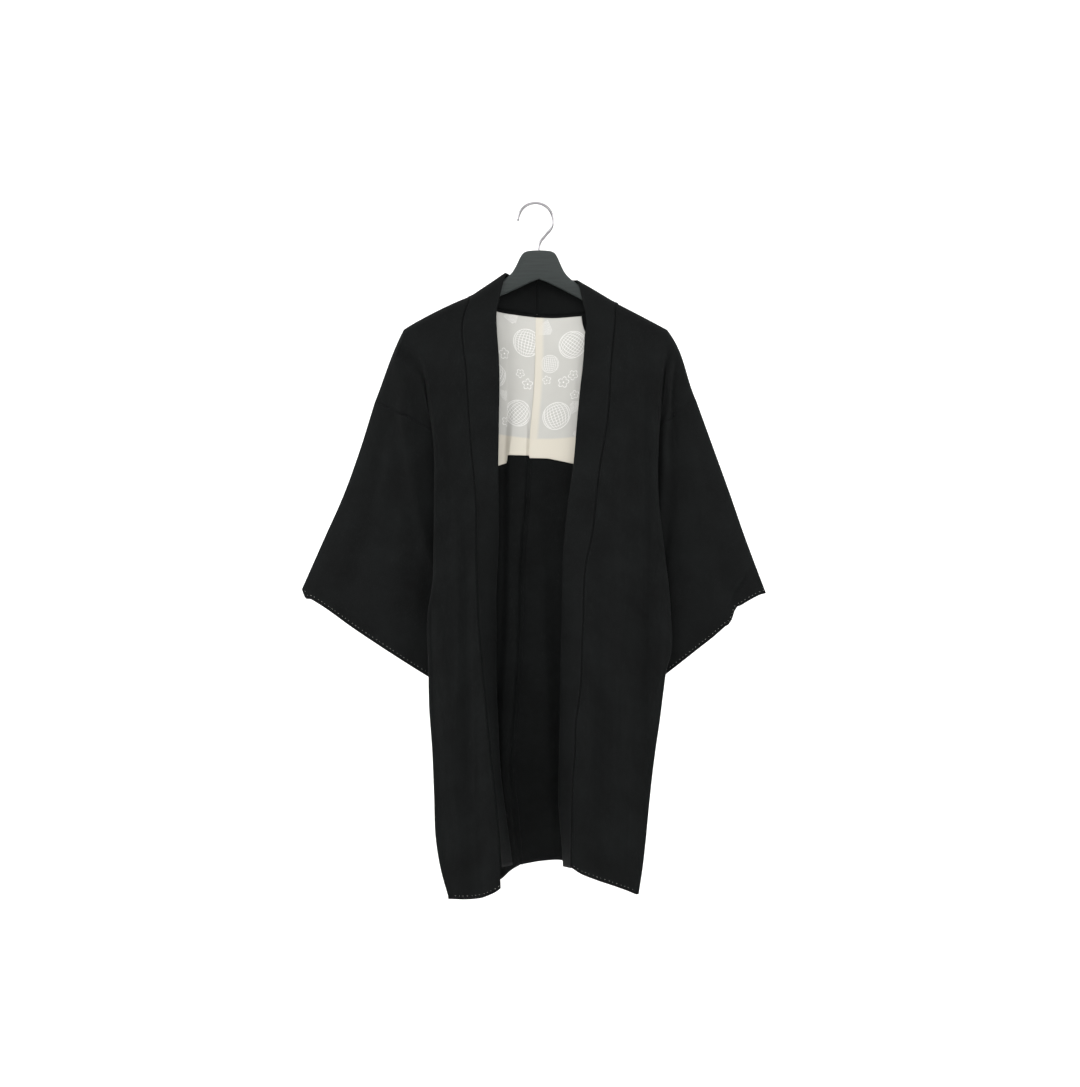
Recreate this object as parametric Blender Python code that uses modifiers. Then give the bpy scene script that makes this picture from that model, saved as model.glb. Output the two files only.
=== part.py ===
"""Haori, hanging on its hanger.

The garment hangs from the inside top of the hanger's hook, which is the origin.
It faces -Y, +Z is up, and the wearer's right side is at -X.
Tables and sizes are in millimetres and are made metres when a mesh is built.

Each table gives places as they are seen from VIEW_DISTANCE in front of the hanger:
"out" is the distance from the garment's middle line, "down" is the distance below the origin,
and y is the real depth, positive to the back. real_place() turns such a place into the real one.
"""
import math
from collections import namedtuple

import bmesh
import bpy
import numpy as np

MILLIMETRE = 0.001

# Where the tables are seen from
VIEW_DISTANCE = 2600.0
EYE_X = 7.2
EYE_DOWN = 542.4
MIDDLE_LINE_X = 2.4

# Cloth and seams
CLOTH_WALL = 2.0
COLLAR_WALL = 3.0
LINING_WALL = 1.5
SEAM_GAP = 0.5
LINING_OFFSET = 2.6
CENTRE_SEAM_GAP = 1.6

# Cloth over the hanger's arms, and the folds at the sides
ARM_FORWARD = 22.0
ARM_REACH = 208.0
ARM_RADIUS = 6.5
OVER_ARM_RADIUS = 9.0
ARM_TOP_CLEARANCE = 2.2
SIDE_FOLD_RADIUS = 4.5
RETURN_WIDTH = 28.0
RETURN_SHARE = 0.23
UNDERARM_DROP = 30.0
ARMHOLE_T = 0.19
FOLDS_START_T = 0.004
EDGE_VALLEY = 3.0
CUFF_SHARPNESS = 6

# Sleeves
SLEEVE_POINTS = 20
SLEEVE_ROWS = 12

# Hanger
HOOK_WIRE_RADIUS = 2.4
HOOK_ARC_RADIUS = 28.0
HANGER_MIDDLE_SHIFT = 3.2

Place = namedtuple("Place", "x down y")
Line = namedtuple("Line", "down out")
Corner = namedtuple("Corner", "out down")
Bulge = namedtuple("Bulge", "near far")
Cuff = namedtuple("Cuff", "share drop")
Hem = namedtuple("Hem", "across down")
Neck = namedtuple("Neck", "out down y")
Depth = namedtuple("Depth", "t inner edge")
BackDepth = namedtuple("BackDepth", "t middle edge")
Sleeve = namedtuple("Sleeve", "s top_out top_down under_out under_down")
Free = namedtuple("Free", "t out rise inward")
Nape = namedtuple("Nape", "f out down y")
Fold = namedtuple("Fold", "x_top down_top x_bottom down_bottom half_width height")
SleeveFold = namedtuple("SleeveFold", "face s_from s_to share_from share_to half_width height")
Arm = namedtuple("Arm", "out top bottom")
Side = namedtuple(
    "Side",
    "name sign neck_corner tip crown tip_bulge collar_seam side_fold front_hem back_hem neck sleeve cuff "
    "collar_end free nape folds sleeve_folds",
)

# Depth of the front panels: at the collar seam and at the side fold
FRONT_DEPTH = (
    Depth(0.00, -17, -31),
    Depth(0.05, -19, -33),
    Depth(0.25, -27, -37),
    Depth(0.45, -36, -39),
    Depth(0.70, -48, -43),
    Depth(1.00, -62, -54),
)

# Depth of the back panel: at the centre seam and at the side
BACK_DEPTH = (
    BackDepth(0.00, 14, -13),
    BackDepth(0.08, 15, 5),
    BackDepth(0.25, 18, 13),
    BackDepth(0.45, 24, 16),
    BackDepth(0.70, 34, 23),
    BackDepth(1.00, 46, 40),
)

# The centre-back seam wanders with the pleat beside it
CENTRE_SEAM = (
    Line(178, -2),
    Line(297, -5),
    Line(372, -11),
    Line(473, -16),
    Line(569, -23),
    Line(690, -26),
    Line(806, -33),
    Line(911, -39),
    Line(967, -34),
    Line(1060, -26),
)

# The flat pleat on the back, left of the centre seam as seen: its outer edge
PLEAT_EDGE = (
    Line(330, -42),
    Line(403, -47),
    Line(463, -48),
    Line(617, -50),
    Line(911, -61),
    Line(1060, -56),
)
PLEAT_HEIGHT = 8.0
PLEAT_SOFT_SIDE = 16.0
PLEAT_STEP_SIDE = 9.0
PLEAT_STARTS = 300.0
PLEAT_FULL = 440.0

BACK_FOLDS = (
    Fold(-112, 300, -92, 1050, 22, -6),
    Fold(24, 430, 44, 1050, 16, 5),
    Fold(84, 320, 104, 1050, 24, -6),
    Fold(128, 520, 138, 1050, 16, 5),
)

# The wearer's right half, on the left as seen. A sleeve's rows run from armhole (s 0) to cuff (s 1)
RIGHT = Side(
    name="right",
    sign=-1,
    neck_corner=Corner(107, 148),
    tip=Corner(213, 201),
    crown=3.6,
    tip_bulge=Bulge(5, 0),
    collar_seam=(
        Line(148, 107), Line(178, 118), Line(268, 114), Line(377, 107), Line(473, 99), Line(569, 98),
        Line(690, 93), Line(748, 88), Line(834, 80), Line(911, 72), Line(967, 66), Line(1046, 60),
        Line(1092, 58),
    ),
    side_fold=(
        Line(201, 213), Line(215, 211), Line(233, 196), Line(319, 174), Line(382, 166), Line(465, 165),
        Line(548, 166), Line(610, 168), Line(644, 174), Line(751, 174), Line(801, 173), Line(873, 168),
        Line(945, 165), Line(1017, 162), Line(1065, 154), Line(1108, 142),
    ),
    front_hem=(
        Hem(0.0, 1094), Hem(0.06, 1098), Hem(0.23, 1105), Hem(0.36, 1109), Hem(0.51, 1111), Hem(0.73, 1112),
        Hem(1.0, 1111),
    ),
    back_hem=(Hem(0.0, 1056), Hem(0.15, 1066), Hem(0.27, 1078), Hem(0.5, 1086), Hem(1.0, 1092)),
    neck=(
        Neck(0, 177, 14), Neck(32, 173, 13), Neck(64, 167, 11), Neck(86, 158, 8), Neck(97, 151.5, 4.4),
        Neck(102, 148, 0.9), Neck(107, 148, -5.8),
    ),
    sleeve=(
        Sleeve(0.00, 259, 316, 136, 377),
        Sleeve(0.25, 283, 393, 138, 470),
        Sleeve(0.50, 309, 465, 139, 575),
        Sleeve(0.75, 341, 537, 138, 680),
        Sleeve(1.00, 376, 616, 136, 777),
    ),
    cuff=(
        Cuff(0.0, 0), Cuff(0.015, 8), Cuff(0.06, 6), Cuff(0.12, 5), Cuff(0.34, 7), Cuff(0.6, 6.5),
        Cuff(0.84, 4), Cuff(1.0, 0),
    ),
    collar_end=0.965,
    free=(
        Free(0.000, 50, 39, 5), Free(0.0074, 54, 31, 4.5), Free(0.016, 59, 18, 4), Free(0.032, 64, 11, 3),
        Free(0.06, 64, 5, 3), Free(0.10, 61, 0, 4), Free(0.22, 61, 0, 8), Free(0.30, 62, 0, 14),
        Free(0.385, 61, 0, 29), Free(0.446, 63, 0, 34), Free(0.50, 66, 0, 38), Free(0.55, 66, 0, 41),
        Free(0.64, 66, 0, 43), Free(0.73, 62, 0, 45), Free(0.81, 58, 0, 46), Free(0.88, 50, 0, 44),
        Free(0.965, 40, 4, 42),
    ),
    nape=(
        Nape(0.00, 0, 117, 15.5), Nape(0.35, 20, 117.5, 14.5), Nape(0.65, 38, 115, 12.5),
        Nape(0.85, 48, 110, 7.5), Nape(1.00, 50, 109, -0.8),
    ),
    folds=(
        Fold(-167, 560, -138, 930, 10, -6),
        Fold(-120, 500, -109, 960, 11, 6),
        Fold(-150, 300, -146, 620, 12, 3),
        Fold(-82, 760, -74, 1080, 12, -3),
    ),
    sleeve_folds=(
        SleeveFold(-1, -0.2, 0.65, 0.17, 0.92, 0.08, 4.5),
        SleeveFold(-1, 0.1, 1.1, 0.20, 0.30, 0.06, -1.8),
        SleeveFold(-1, 0.3, 1.1, 0.52, 0.60, 0.08, 2.4),
        SleeveFold(-1, 0.45, 1.1, 0.80, 0.78, 0.05, -2.0),
        SleeveFold(1, -0.2, 0.8, 0.15, 0.72, 0.09, 3.5),
        SleeveFold(1, 0.2, 1.1, 0.55, 0.48, 0.07, -2.2),
        SleeveFold(1, 0.4, 1.1, 0.75, 0.82, 0.05, 1.8),
    ),
)

LEFT = Side(
    name="left",
    sign=1,
    neck_corner=Corner(126, 158),
    tip=Corner(208, 201),
    crown=0.4,
    tip_bulge=Bulge(14, -2),
    collar_seam=(
        Line(158, 126), Line(175, 126), Line(249, 120), Line(345, 114), Line(425, 101), Line(537, 88),
        Line(569, 81), Line(681, 75), Line(793, 69), Line(825, 64), Line(882, 62), Line(919, 59),
        Line(1000, 57), Line(1058, 56),
    ),
    side_fold=(
        Line(201, 208), Line(236, 206), Line(313, 200), Line(361, 196), Line(486, 196), Line(537, 202),
        Line(569, 206), Line(652, 214), Line(722, 214), Line(743, 208), Line(777, 203), Line(825, 197),
        Line(873, 190), Line(921, 184), Line(969, 179), Line(1017, 174.5), Line(1065, 169), Line(1104, 163),
    ),
    front_hem=(
        Hem(0.0, 1062), Hem(0.1, 1069), Hem(0.35, 1080), Hem(0.61, 1089), Hem(0.82, 1096.5), Hem(1.0, 1104),
    ),
    back_hem=(
        Hem(0.0, 1056), Hem(0.2, 1050), Hem(0.38, 1050), Hem(0.5, 1060), Hem(0.7, 1076), Hem(1.0, 1092),
    ),
    neck=(
        Neck(0, 177, 14), Neck(29, 178, 13.5), Neck(58, 176, 12.5), Neck(78, 174, 11), Neck(101, 168, 8),
        Neck(115, 161.5, 2.3), Neck(121, 158, -1.0), Neck(126, 158, -8.1),
    ),
    sleeve=(
        Sleeve(0.00, 254, 313, 168, 377),
        Sleeve(0.25, 283, 393, 171, 470),
        Sleeve(0.50, 309, 465, 174, 575),
        Sleeve(0.75, 334, 537, 175, 680),
        Sleeve(1.00, 366, 622, 173, 777),
    ),
    cuff=(
        Cuff(0.0, 0), Cuff(0.05, -5), Cuff(0.1, -8), Cuff(0.2, -12), Cuff(0.255, -13), Cuff(0.28, -2),
        Cuff(0.35, 1), Cuff(0.6, 2), Cuff(1.0, 0),
    ),
    collar_end=1.0,
    free=(
        Free(0.000, 64, 36, 6), Free(0.0056, 68, 30, 5), Free(0.011, 72, 17, 4), Free(0.02, 77, 6, 3),
        Free(0.06, 76, 0, 4), Free(0.10, 74, 0, 7), Free(0.15, 69, 0, 6), Free(0.208, 64, 0, 6),
        Free(0.286, 58, 0, 13), Free(0.35, 50, 0, 14), Free(0.43, 43, 0, 20), Free(0.563, 40, 0, 31),
        Free(0.634, 38, 0, 33), Free(0.72, 37, 0, 37), Free(0.80, 36, 0, 40), Free(0.887, 35, 2, 42),
        Free(0.96, 40, 2, 44), Free(1.00, 42, 3, 44),
    ),
    nape=(
        Nape(0.00, 0, 117, 15.5), Nape(0.35, 24, 119.5, 14.5), Nape(0.65, 46, 121.5, 12.5),
        Nape(0.85, 59, 121, 7.5), Nape(1.00, 64, 121.5, -1.2),
    ),
    folds=(
        Fold(182, 330, 178, 900, 10, 4),
        Fold(150, 260, 128, 1000, 14, -5),
        Fold(104, 560, 96, 1060, 11, 4),
        Fold(206, 560, 178, 960, 9, -4),
    ),
    sleeve_folds=(
        SleeveFold(-1, -0.2, 0.7, 0.24, 0.92, 0.055, -3.5),
        SleeveFold(-1, -0.2, 0.6, 0.40, 1.00, 0.07, 4.0),
        SleeveFold(-1, 0.2, 1.1, 0.30, 0.42, 0.09, 2.2),
        SleeveFold(-1, 0.4, 1.1, 0.66, 0.62, 0.06, -1.8),
        SleeveFold(1, -0.2, 0.8, 0.20, 0.66, 0.09, 3.5),
        SleeveFold(1, 0.2, 1.1, 0.50, 0.44, 0.07, -2.0),
        SleeveFold(1, 0.4, 1.1, 0.78, 0.84, 0.05, 1.8),
    ),
)
SIDES = (RIGHT, LEFT)

# The hanger's outline: upper and lower edge at each distance from its middle
HANGER_ARM = (
    Arm(0, 72.8, 120), Arm(12, 73.2, 124.6), Arm(20, 74.6, 128.2), Arm(26, 78, 131), Arm(30, 84, 133),
    Arm(35, 95, 135.3), Arm(41, 106.5, 138.2), Arm(50, 116.5, 142.6), Arm(60, 124, 147),
    Arm(84, 138.5, 160), Arm(107, 150.2, 171), Arm(150, 173.4, 194), Arm(186, 192.8, 213),
    Arm(198, 199.6, 212),
)

# Rows down the collar band and the body, closer together where the cloth turns over the hanger
COLLAR_T = (
    0.0, 0.0012, 0.004, 0.010, 0.02, 0.035, 0.06, 0.09, 0.13, 0.18, 0.24, 0.30, 0.36, 0.42, 0.48, 0.54, 0.60,
    0.66, 0.72, 0.78, 0.84, 0.90, 0.95, 1.0,
)
PANEL_T = (
    0.0, 0.0013, 0.005, 0.0105, 0.025, 0.05, 0.08, 0.11, 0.135, 0.155, 0.175, 0.205, 0.24, 0.29, 0.35, 0.41,
    0.47, 0.53, 0.59, 0.65, 0.71, 0.77, 0.83, 0.89, 0.95, 1.0,
)
LINING_T = (0.006, 0.02, 0.045, 0.075, 0.105, 0.135, 0.165, 0.195, 0.225, 0.25, 0.272)
GUSSET_T = (0.68, 0.74, 0.80, 0.86, 0.92, 0.96, 1.0)

# Columns across a panel, its turned-in strip, the neck's edge and the nape
PANEL_ACROSS = (0.0, 0.14, 0.28, 0.42, 0.56, 0.7, 0.85, 1.0)
OVERHANG_SHARES = (0.12, 0.26, 0.42, 0.62, 0.8, 1.0)
NECK_SHARES = (0.0, 0.18, 0.36, 0.54, 0.68, 0.8, 0.885, 0.925, 0.965)
NAPE_SHARES = (0.0, 0.2, 0.4, 0.58, 0.72, 0.82, 0.9, 0.935, 0.97)
COLLAR_SHARES = (0.0, 0.33, 0.67, 1.0)
GUSSET_SHARES = (0.0, 0.25, 0.5, 0.75, 1.0)
LINING_COLUMNS = 8

# How far across the back half the lining reaches, at its top and below the shoulders
LINING_TOP_WIDTH = 0.35
LINING_WIDTH = 0.56

# The gusset bows in from the edges that it joins
GUSSET_CLEARANCE = 1.9
GUSSET_BOW = 3.0

# The hanger's upright sections
RING_POINTS = 12
TIP_NARROWING = 0.45


def real_place(place):
    """Turn a place as seen from the front into the real one, in metres."""
    nearer = 1 + place.y / VIEW_DISTANCE
    x = EYE_X + (MIDDLE_LINE_X + place.x - EYE_X) * nearer
    down = EYE_DOWN + (place.down - EYE_DOWN) * nearer
    return (x * MILLIMETRE, place.y * MILLIMETRE, -down * MILLIMETRE)


def mix(first, second, share):
    """The value that lies the given share of the way from first to second."""
    return first + (second - first) * share


def mix_place(first, second, share):
    """The place that lies the given share of the way from first to second."""
    return Place(*(mix(a, b, share) for a, b in zip(first, second)))


def ease(low, high, value):
    """Rise softly from 0 at low to 1 at high."""
    share = min(max((value - low) / (high - low), 0.0), 1.0)
    return share * share * (3 - 2 * share)


def read(table, at, column):
    """Read a column of a table on a soft curve through its rows, keyed by the first column."""
    keys = [row[0] for row in table]
    values = [getattr(row, column) for row in table]
    at = min(max(at, keys[0]), keys[-1])
    slopes = np.gradient(values, keys)
    k = min(int(np.searchsorted(keys, at, side="right")) - 1, len(keys) - 2)
    span = keys[k + 1] - keys[k]
    f = (at - keys[k]) / span
    start = (1 + 2 * f) * (1 - f) ** 2 * values[k] + f * (1 - f) ** 2 * span * slopes[k]
    end = f * f * (3 - 2 * f) * values[k + 1] + f * f * (f - 1) * span * slopes[k + 1]
    return float(start + end)


def bezier(points, share):
    """A point of the cubic curve with four control places."""
    weights = (
        (1 - share) ** 3,
        3 * share * (1 - share) ** 2,
        3 * share * share * (1 - share),
        share ** 3,
    )
    return Place(*(sum(w * p[axis] for w, p in zip(weights, points)) for axis in range(3)))


def arm_depth(x):
    """Depth of the hanger's arm, which bends forward towards its tip."""
    return -ARM_FORWARD * (x / ARM_REACH) ** 2


def over_arm(x, down, face):
    """Least depth to either face of the hanger that clears its arm, rounded over the arm's top."""
    drop = down - read(HANGER_ARM, abs(x), "top") + ARM_TOP_CLEARANCE
    share = min(max(drop / OVER_ARM_RADIUS, 0.0), 1.0)
    return arm_depth(x) + face * OVER_ARM_RADIUS * math.sqrt(1 - (1 - share) ** 2)


def from_ridge(x, y, down, ridge, face):
    """Bring a panel's depth to the shoulder line at its top, clear of the hanger's arm below it."""
    drop = down - ridge
    clear = arm_depth(x) + face * OVER_ARM_RADIUS
    beside_arm = face * max(face * y, face * clear)
    y = mix(beside_arm, y, ease(30, 70, drop))
    share = min(drop / OVER_ARM_RADIUS, 1.0)
    return mix(arm_depth(x), y, math.sqrt(1 - (1 - share) ** 2))


def fold_relief(folds, x, down):
    """Sum of the long soft folds at a point, each a row of its table."""
    total = 0.0
    for fold in folds:
        along = (down - fold.down_top) / (fold.down_bottom - fold.down_top)
        path = mix(fold.x_top, fold.x_bottom, along)
        swell = ease(-0.05, 0.25, along) * (1 - 0.6 * ease(0.8, 1.1, along))
        total += fold.height * swell * math.exp(-((x - path) / fold.half_width) ** 2)
    return total


def pleat_relief(x, down):
    """The flat pleat of the back: a soft rise on one side and a step at the centre seam."""
    rise_at = read(PLEAT_EDGE, down, "out")
    step_at = read(CENTRE_SEAM, down, "out")
    rise = ease(rise_at - PLEAT_SOFT_SIDE / 2, rise_at + PLEAT_SOFT_SIDE / 2, x)
    step = ease(step_at - PLEAT_STEP_SIDE, step_at, x)
    return -PLEAT_HEIGHT * rise * (1 - step) * ease(PLEAT_STARTS, PLEAT_FULL, down)


def shoulder_line(side, share):
    """Height of the shoulder line, from the neck corner (0) to the hanger's tip (1)."""
    crown = side.crown * max(math.sin(math.pi * share), 0.0) ** 0.6
    return mix(side.neck_corner.down, side.tip.down, share) - crown


def front_place(side, across, t):
    """A point of a front panel: across from collar seam (0) to side fold (1), t from shoulder to hem."""
    ridge = shoulder_line(side, across)
    down = mix(ridge, read(side.front_hem, across, "down"), t)
    inner_down = mix(side.neck_corner.down, side.front_hem[0].down, t)
    edge_down = mix(side.tip.down, side.front_hem[-1].down, t)
    inner = read(side.collar_seam, inner_down, "out")
    edge = read(side.side_fold, edge_down, "out") - SIDE_FOLD_RADIUS * ease(0, 0.05, t)
    x = side.sign * mix(inner, edge, across)
    y = mix(read(FRONT_DEPTH, t, "inner"), read(FRONT_DEPTH, t, "edge"), across ** 1.4)
    y += fold_relief(side.folds, x, down)
    return Place(x, down, from_ridge(x, y, down, ridge, -1))


def neck_share(side):
    """How far across the back's upper edge the neck corner lies."""
    centre = CENTRE_SEAM[0].out
    return (side.sign * side.neck_corner.out - centre) / (side.sign * side.tip.out - centre)


def back_place(side, across, t):
    """A point of a back half: across from the centre seam (0) to the side (1), t from top to hem."""
    corner = neck_share(side)
    if across >= corner:
        share = (across - corner) / (1 - corner)
        ridge = shoulder_line(side, share)
        ridge_y = None
    else:
        out = side.neck_corner.out * across / corner
        ridge = read(side.neck, out, "down")
        ridge_y = read(side.neck, out, "y")
    down = mix(ridge, read(side.back_hem, across, "down"), t)
    middle_down = mix(side.neck[0].down, side.back_hem[0].down, t)
    edge_down = mix(side.tip.down, side.back_hem[-1].down, t)
    middle = read(CENTRE_SEAM, middle_down, "out")
    edge = side.sign * (read(side.side_fold, edge_down + 20 * t, "out") - 7 * ease(0, 0.05, t))
    x = mix(middle, edge, across)
    y = mix(read(BACK_DEPTH, t, "middle"), read(BACK_DEPTH, t, "edge"), across ** 1.6)
    y += (fold_relief(BACK_FOLDS, x, down) + pleat_relief(x, down))
    if ridge_y is None:
        return Place(x, down, from_ridge(x, y, down, ridge, 1))
    settle = ease(0, 40, down - ridge)
    y = mix(ridge_y, max(y, ridge_y), settle)
    return Place(x, down, max(y, over_arm(x, down, 1)))


def sleeve_relief(side, face, s, share):
    """Soft folds down a sleeve's front (-1) or back (1) face, outward positive."""
    total = 0.0
    for fold in side.sleeve_folds:
        if fold.face == face:
            along = (s - fold.s_from) / (fold.s_to - fold.s_from)
            path = mix(fold.share_from, fold.share_to, along)
            swell = ease(-0.1, 0.2, along) * (1 - 0.7 * ease(0.75, 1.0, along))
            total += fold.height * swell * math.exp(-((share - path) / fold.half_width) ** 2)
    return total


def sleeve_place(side, s, angle, relief=1.0):
    """A point round a sleeve: angle 0 at its top fold, half a turn at its under fold, front first."""
    share = (1 - math.cos(angle)) / 2
    out = mix(read(side.sleeve, s, "top_out"), read(side.sleeve, s, "under_out"), share)
    down = mix(read(side.sleeve, s, "top_down"), read(side.sleeve, s, "under_down"), share)
    down += read(side.cuff, share, "drop") * s ** CUFF_SHARPNESS
    middle = mix(mix(-22, -16, s), mix(-11, -10, s), share)
    half_depth = mix(12, 15.5, s) * (1 - 0.25 * share)
    soft = 1.6 * math.sin(math.pi * s) * math.cos(share * 2.4 * math.pi)
    y = middle - (half_depth - soft) * math.sin(angle)
    face = -1 if math.sin(angle) >= 0 else 1
    edge_fade = min(1.0, 3 * abs(math.sin(angle)))
    return Place(side.sign * out, down, y + face * relief * edge_fade * sleeve_relief(side, face, s, share))


def armhole_place(side, face, share):
    """A point of the body's edge at the armhole seam, a seam gap above the sleeve's own edge."""
    angle = math.acos(1 - 2 * min(max(share, 0.0), 1.0))
    place = sleeve_place(side, 0.0, -face * angle, 0.0)
    return Place(place.x - side.sign * SEAM_GAP / 2, place.down - SEAM_GAP - 0.2, place.y)


def shoulder_relief(side, face, share, t):
    """The sleeve's folds, carried on from the armhole seam up to the hanger's tip, and the valley inside."""
    total = 0.0
    for fold in side.sleeve_folds:
        if fold.face == face and fold.s_from < 0:
            along = -fold.s_from / (fold.s_to - fold.s_from)
            at_seam = mix(fold.share_from, fold.share_to, along)
            swell = ease(-0.1, 0.2, along)
            path = mix(FOLDS_START_T, ARMHOLE_T * at_seam, share ** 1.6)
            width = ARMHOLE_T * fold.half_width * mix(0.35, 1.0, share)
            total += fold.height * swell * ease(0.05, 0.5, share) * math.exp(-((t - path) / width) ** 2)
    valley = -EDGE_VALLEY * math.exp(-((share - 0.24) / 0.13) ** 2)
    total += valley * ease(0.004, 0.03, t)
    return total * (1 - ease(0.12, ARMHOLE_T, t))


def return_depth(t):
    """How far back from the panel's edge its turned-in strip ends."""
    return mix(8.5, 15, ease(0.3, 0.7, t))


def overhang_place(side, face, share, t):
    """The cloth past a panel's side fold: out to the armhole seam above, turned inward below."""
    edge = front_place(side, 1, t) if face < 0 else back_place(side, 1, t)
    seam = armhole_place(side, face, t / ARMHOLE_T)
    hem = side.front_hem if face < 0 else side.back_hem
    hem_rise = t * t * (hem[-1].down - read(hem, 1 - RETURN_SHARE, "down"))
    inward = Place(
        edge.x - side.sign * (RETURN_WIDTH - SIDE_FOLD_RADIUS),
        edge.down + UNDERARM_DROP * (1 - ease(0.12, 0.25, t)) - hem_rise,
        edge.y - face * return_depth(t),
    )
    end = mix_place(seam, inward, ease(0.12, ARMHOLE_T, t))
    hooked = ease(0.0, 0.07, t)
    bulge = side.sign * (1 - ease(0.0, 0.03, t))
    third = mix_place(edge, end, 1 / 3)
    straight_one = Place(third.x + bulge * side.tip_bulge.near, third.down, third.y)
    third = mix_place(edge, end, 2 / 3)
    straight_two = Place(third.x + bulge * side.tip_bulge.far, third.down, third.y)
    turn_one = Place(
        edge.x + side.sign * SIDE_FOLD_RADIUS * 2.4, mix(edge.down, end.down, 0.1), edge.y - face * 0.5,
    )
    tuck = 0.2 * mix(4, 12, ease(0.04, 0.2, t))
    turn_two = Place(edge.x - side.sign * tuck, mix(edge.down, end.down, 0.5), mix(edge.y, end.y, 1.1))
    one = mix_place(straight_one, turn_one, hooked)
    two = mix_place(straight_two, turn_two, hooked)
    place = bezier((edge, one, two, end), share)
    return Place(place.x, place.down, place.y + face * shoulder_relief(side, face, share, t))


def collar_rows(side):
    """Pairs of seam and free edge, from the centre back over the shoulder and down to the hem."""
    rows = []
    for f in NAPE_SHARES:
        out = side.neck_corner.out * f
        centre_gap = side.sign * SEAM_GAP * (1 - f)
        seam = Place(
            side.sign * out + centre_gap,
            read(side.neck, out, "down") - SEAM_GAP - 1.6 * f,
            read(side.neck, out, "y"),
        )
        free = Place(
            side.sign * read(side.nape, f, "out") + centre_gap,
            read(side.nape, f, "down"),
            read(side.nape, f, "y"),
        )
        rows.append((seam, free))
    for share in COLLAR_T:
        t = share * side.collar_end
        edge = front_place(side, 0, t)
        turn = math.atan2(read(side.free, t, "inward"), max(abs(edge.x) - read(side.free, t, "out"), 1.0))
        gap = SEAM_GAP + COLLAR_WALL / 2 * math.sin(turn) + 0.3
        lift = 1.0 * (1 - ease(0, 0.02, t))
        seam = Place(edge.x - side.sign * gap, edge.down - lift, edge.y - 0.4 * ease(0, 0.008, t))
        free = Place(
            side.sign * read(side.free, t, "out"),
            edge.down - read(side.free, t, "rise"),
            edge.y + read(side.free, t, "inward"),
        )
        rows.append((seam, free))
    return rows


def make_material(name, colour, roughness, metallic=0.0):
    """One plain finish for a piece."""
    material = bpy.data.materials.new(name)
    material.use_nodes = True
    shader = material.node_tree.nodes["Principled BSDF"]
    shader.inputs["Base Color"].default_value = (*colour, 1.0)
    shader.inputs["Roughness"].default_value = roughness
    shader.inputs["Metallic"].default_value = metallic
    return material


def add_object(name, mesh, material, collection):
    """Put a mesh in the scene as a named piece with its own finish."""
    piece = bpy.data.objects.new(name, mesh)
    mesh.materials.append(material)
    mesh.shade_smooth()
    mesh.set_sharp_from_angle(angle=math.radians(50))
    collection.objects.link(piece)
    return piece


def add_wall(piece, thickness):
    """Give an open sheet its cloth thickness, half to each side."""
    wall = piece.modifiers.new("cloth wall", "SOLIDIFY")
    wall.thickness = thickness * MILLIMETRE
    wall.offset = 0.0


def grid_mesh(bm, rows):
    """Add a grid to bm and move its points to the rows of places."""
    columns = len(rows[0])
    before = len(bm.verts)
    bmesh.ops.create_grid(bm, x_segments=columns - 1, y_segments=len(rows) - 1, size=1.0)
    bm.verts.ensure_lookup_table()
    for r, row in enumerate(rows):
        for c, place in enumerate(row):
            bm.verts[before + r * columns + c].co = real_place(place)


def sheet_mesh(name, grids, merge=0.00002):
    """One open sheet from one or more grids whose shared edges are joined."""
    bm = bmesh.new()
    for rows in grids:
        grid_mesh(bm, rows)
    bmesh.ops.remove_doubles(bm, verts=bm.verts, dist=merge)
    bmesh.ops.recalc_face_normals(bm, faces=bm.faces)
    mesh = bpy.data.meshes.new(name)
    bm.to_mesh(mesh)
    bm.free()
    return mesh


def make_body(side, collection):
    """One half of the body: a length of cloth from the front hem over the shoulder to the back hem."""
    front = []
    back = []
    corner = neck_share(side)
    neck_columns = [corner * share for share in NECK_SHARES]
    shoulder_columns = [mix(corner, 1, across) for across in PANEL_ACROSS]
    for t in PANEL_T:
        row = [front_place(side, across, t) for across in PANEL_ACROSS]
        row += [overhang_place(side, -1, share, t) for share in OVERHANG_SHARES]
        front.append(row)
        row = [back_place(side, across, t) for across in neck_columns + shoulder_columns]
        row[0] = Place(row[0].x + side.sign * CENTRE_SEAM_GAP / 2, row[0].down, row[0].y)
        row += [overhang_place(side, 1, share, t) for share in OVERHANG_SHARES]
        back.append(row)
    shared = len(neck_columns)
    for column in range(len(front[0])):
        back[0][shared + column] = front[0][column]
    name = "body_" + side.name
    material = make_material("black_crepe_" + side.name, (0.012, 0.011, 0.013), 0.85)
    add_wall(add_object(name, sheet_mesh(name, (front, back)), material, collection), CLOTH_WALL)


def make_sleeve(side, collection):
    """A sleeve: a flat tube of cloth, open at the armhole and the cuff."""
    rows = []
    for k in range(SLEEVE_ROWS + 1):
        s = k / SLEEVE_ROWS
        rows.append([
            sleeve_place(side, s, 2 * math.pi * n / SLEEVE_POINTS) for n in range(SLEEVE_POINTS + 1)
        ])
    name = "sleeve_" + side.name
    material = make_material("black_crepe_sleeve_" + side.name, (0.012, 0.011, 0.013), 0.85)
    add_wall(add_object(name, sheet_mesh(name, (rows,)), material, collection), CLOTH_WALL)


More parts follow.
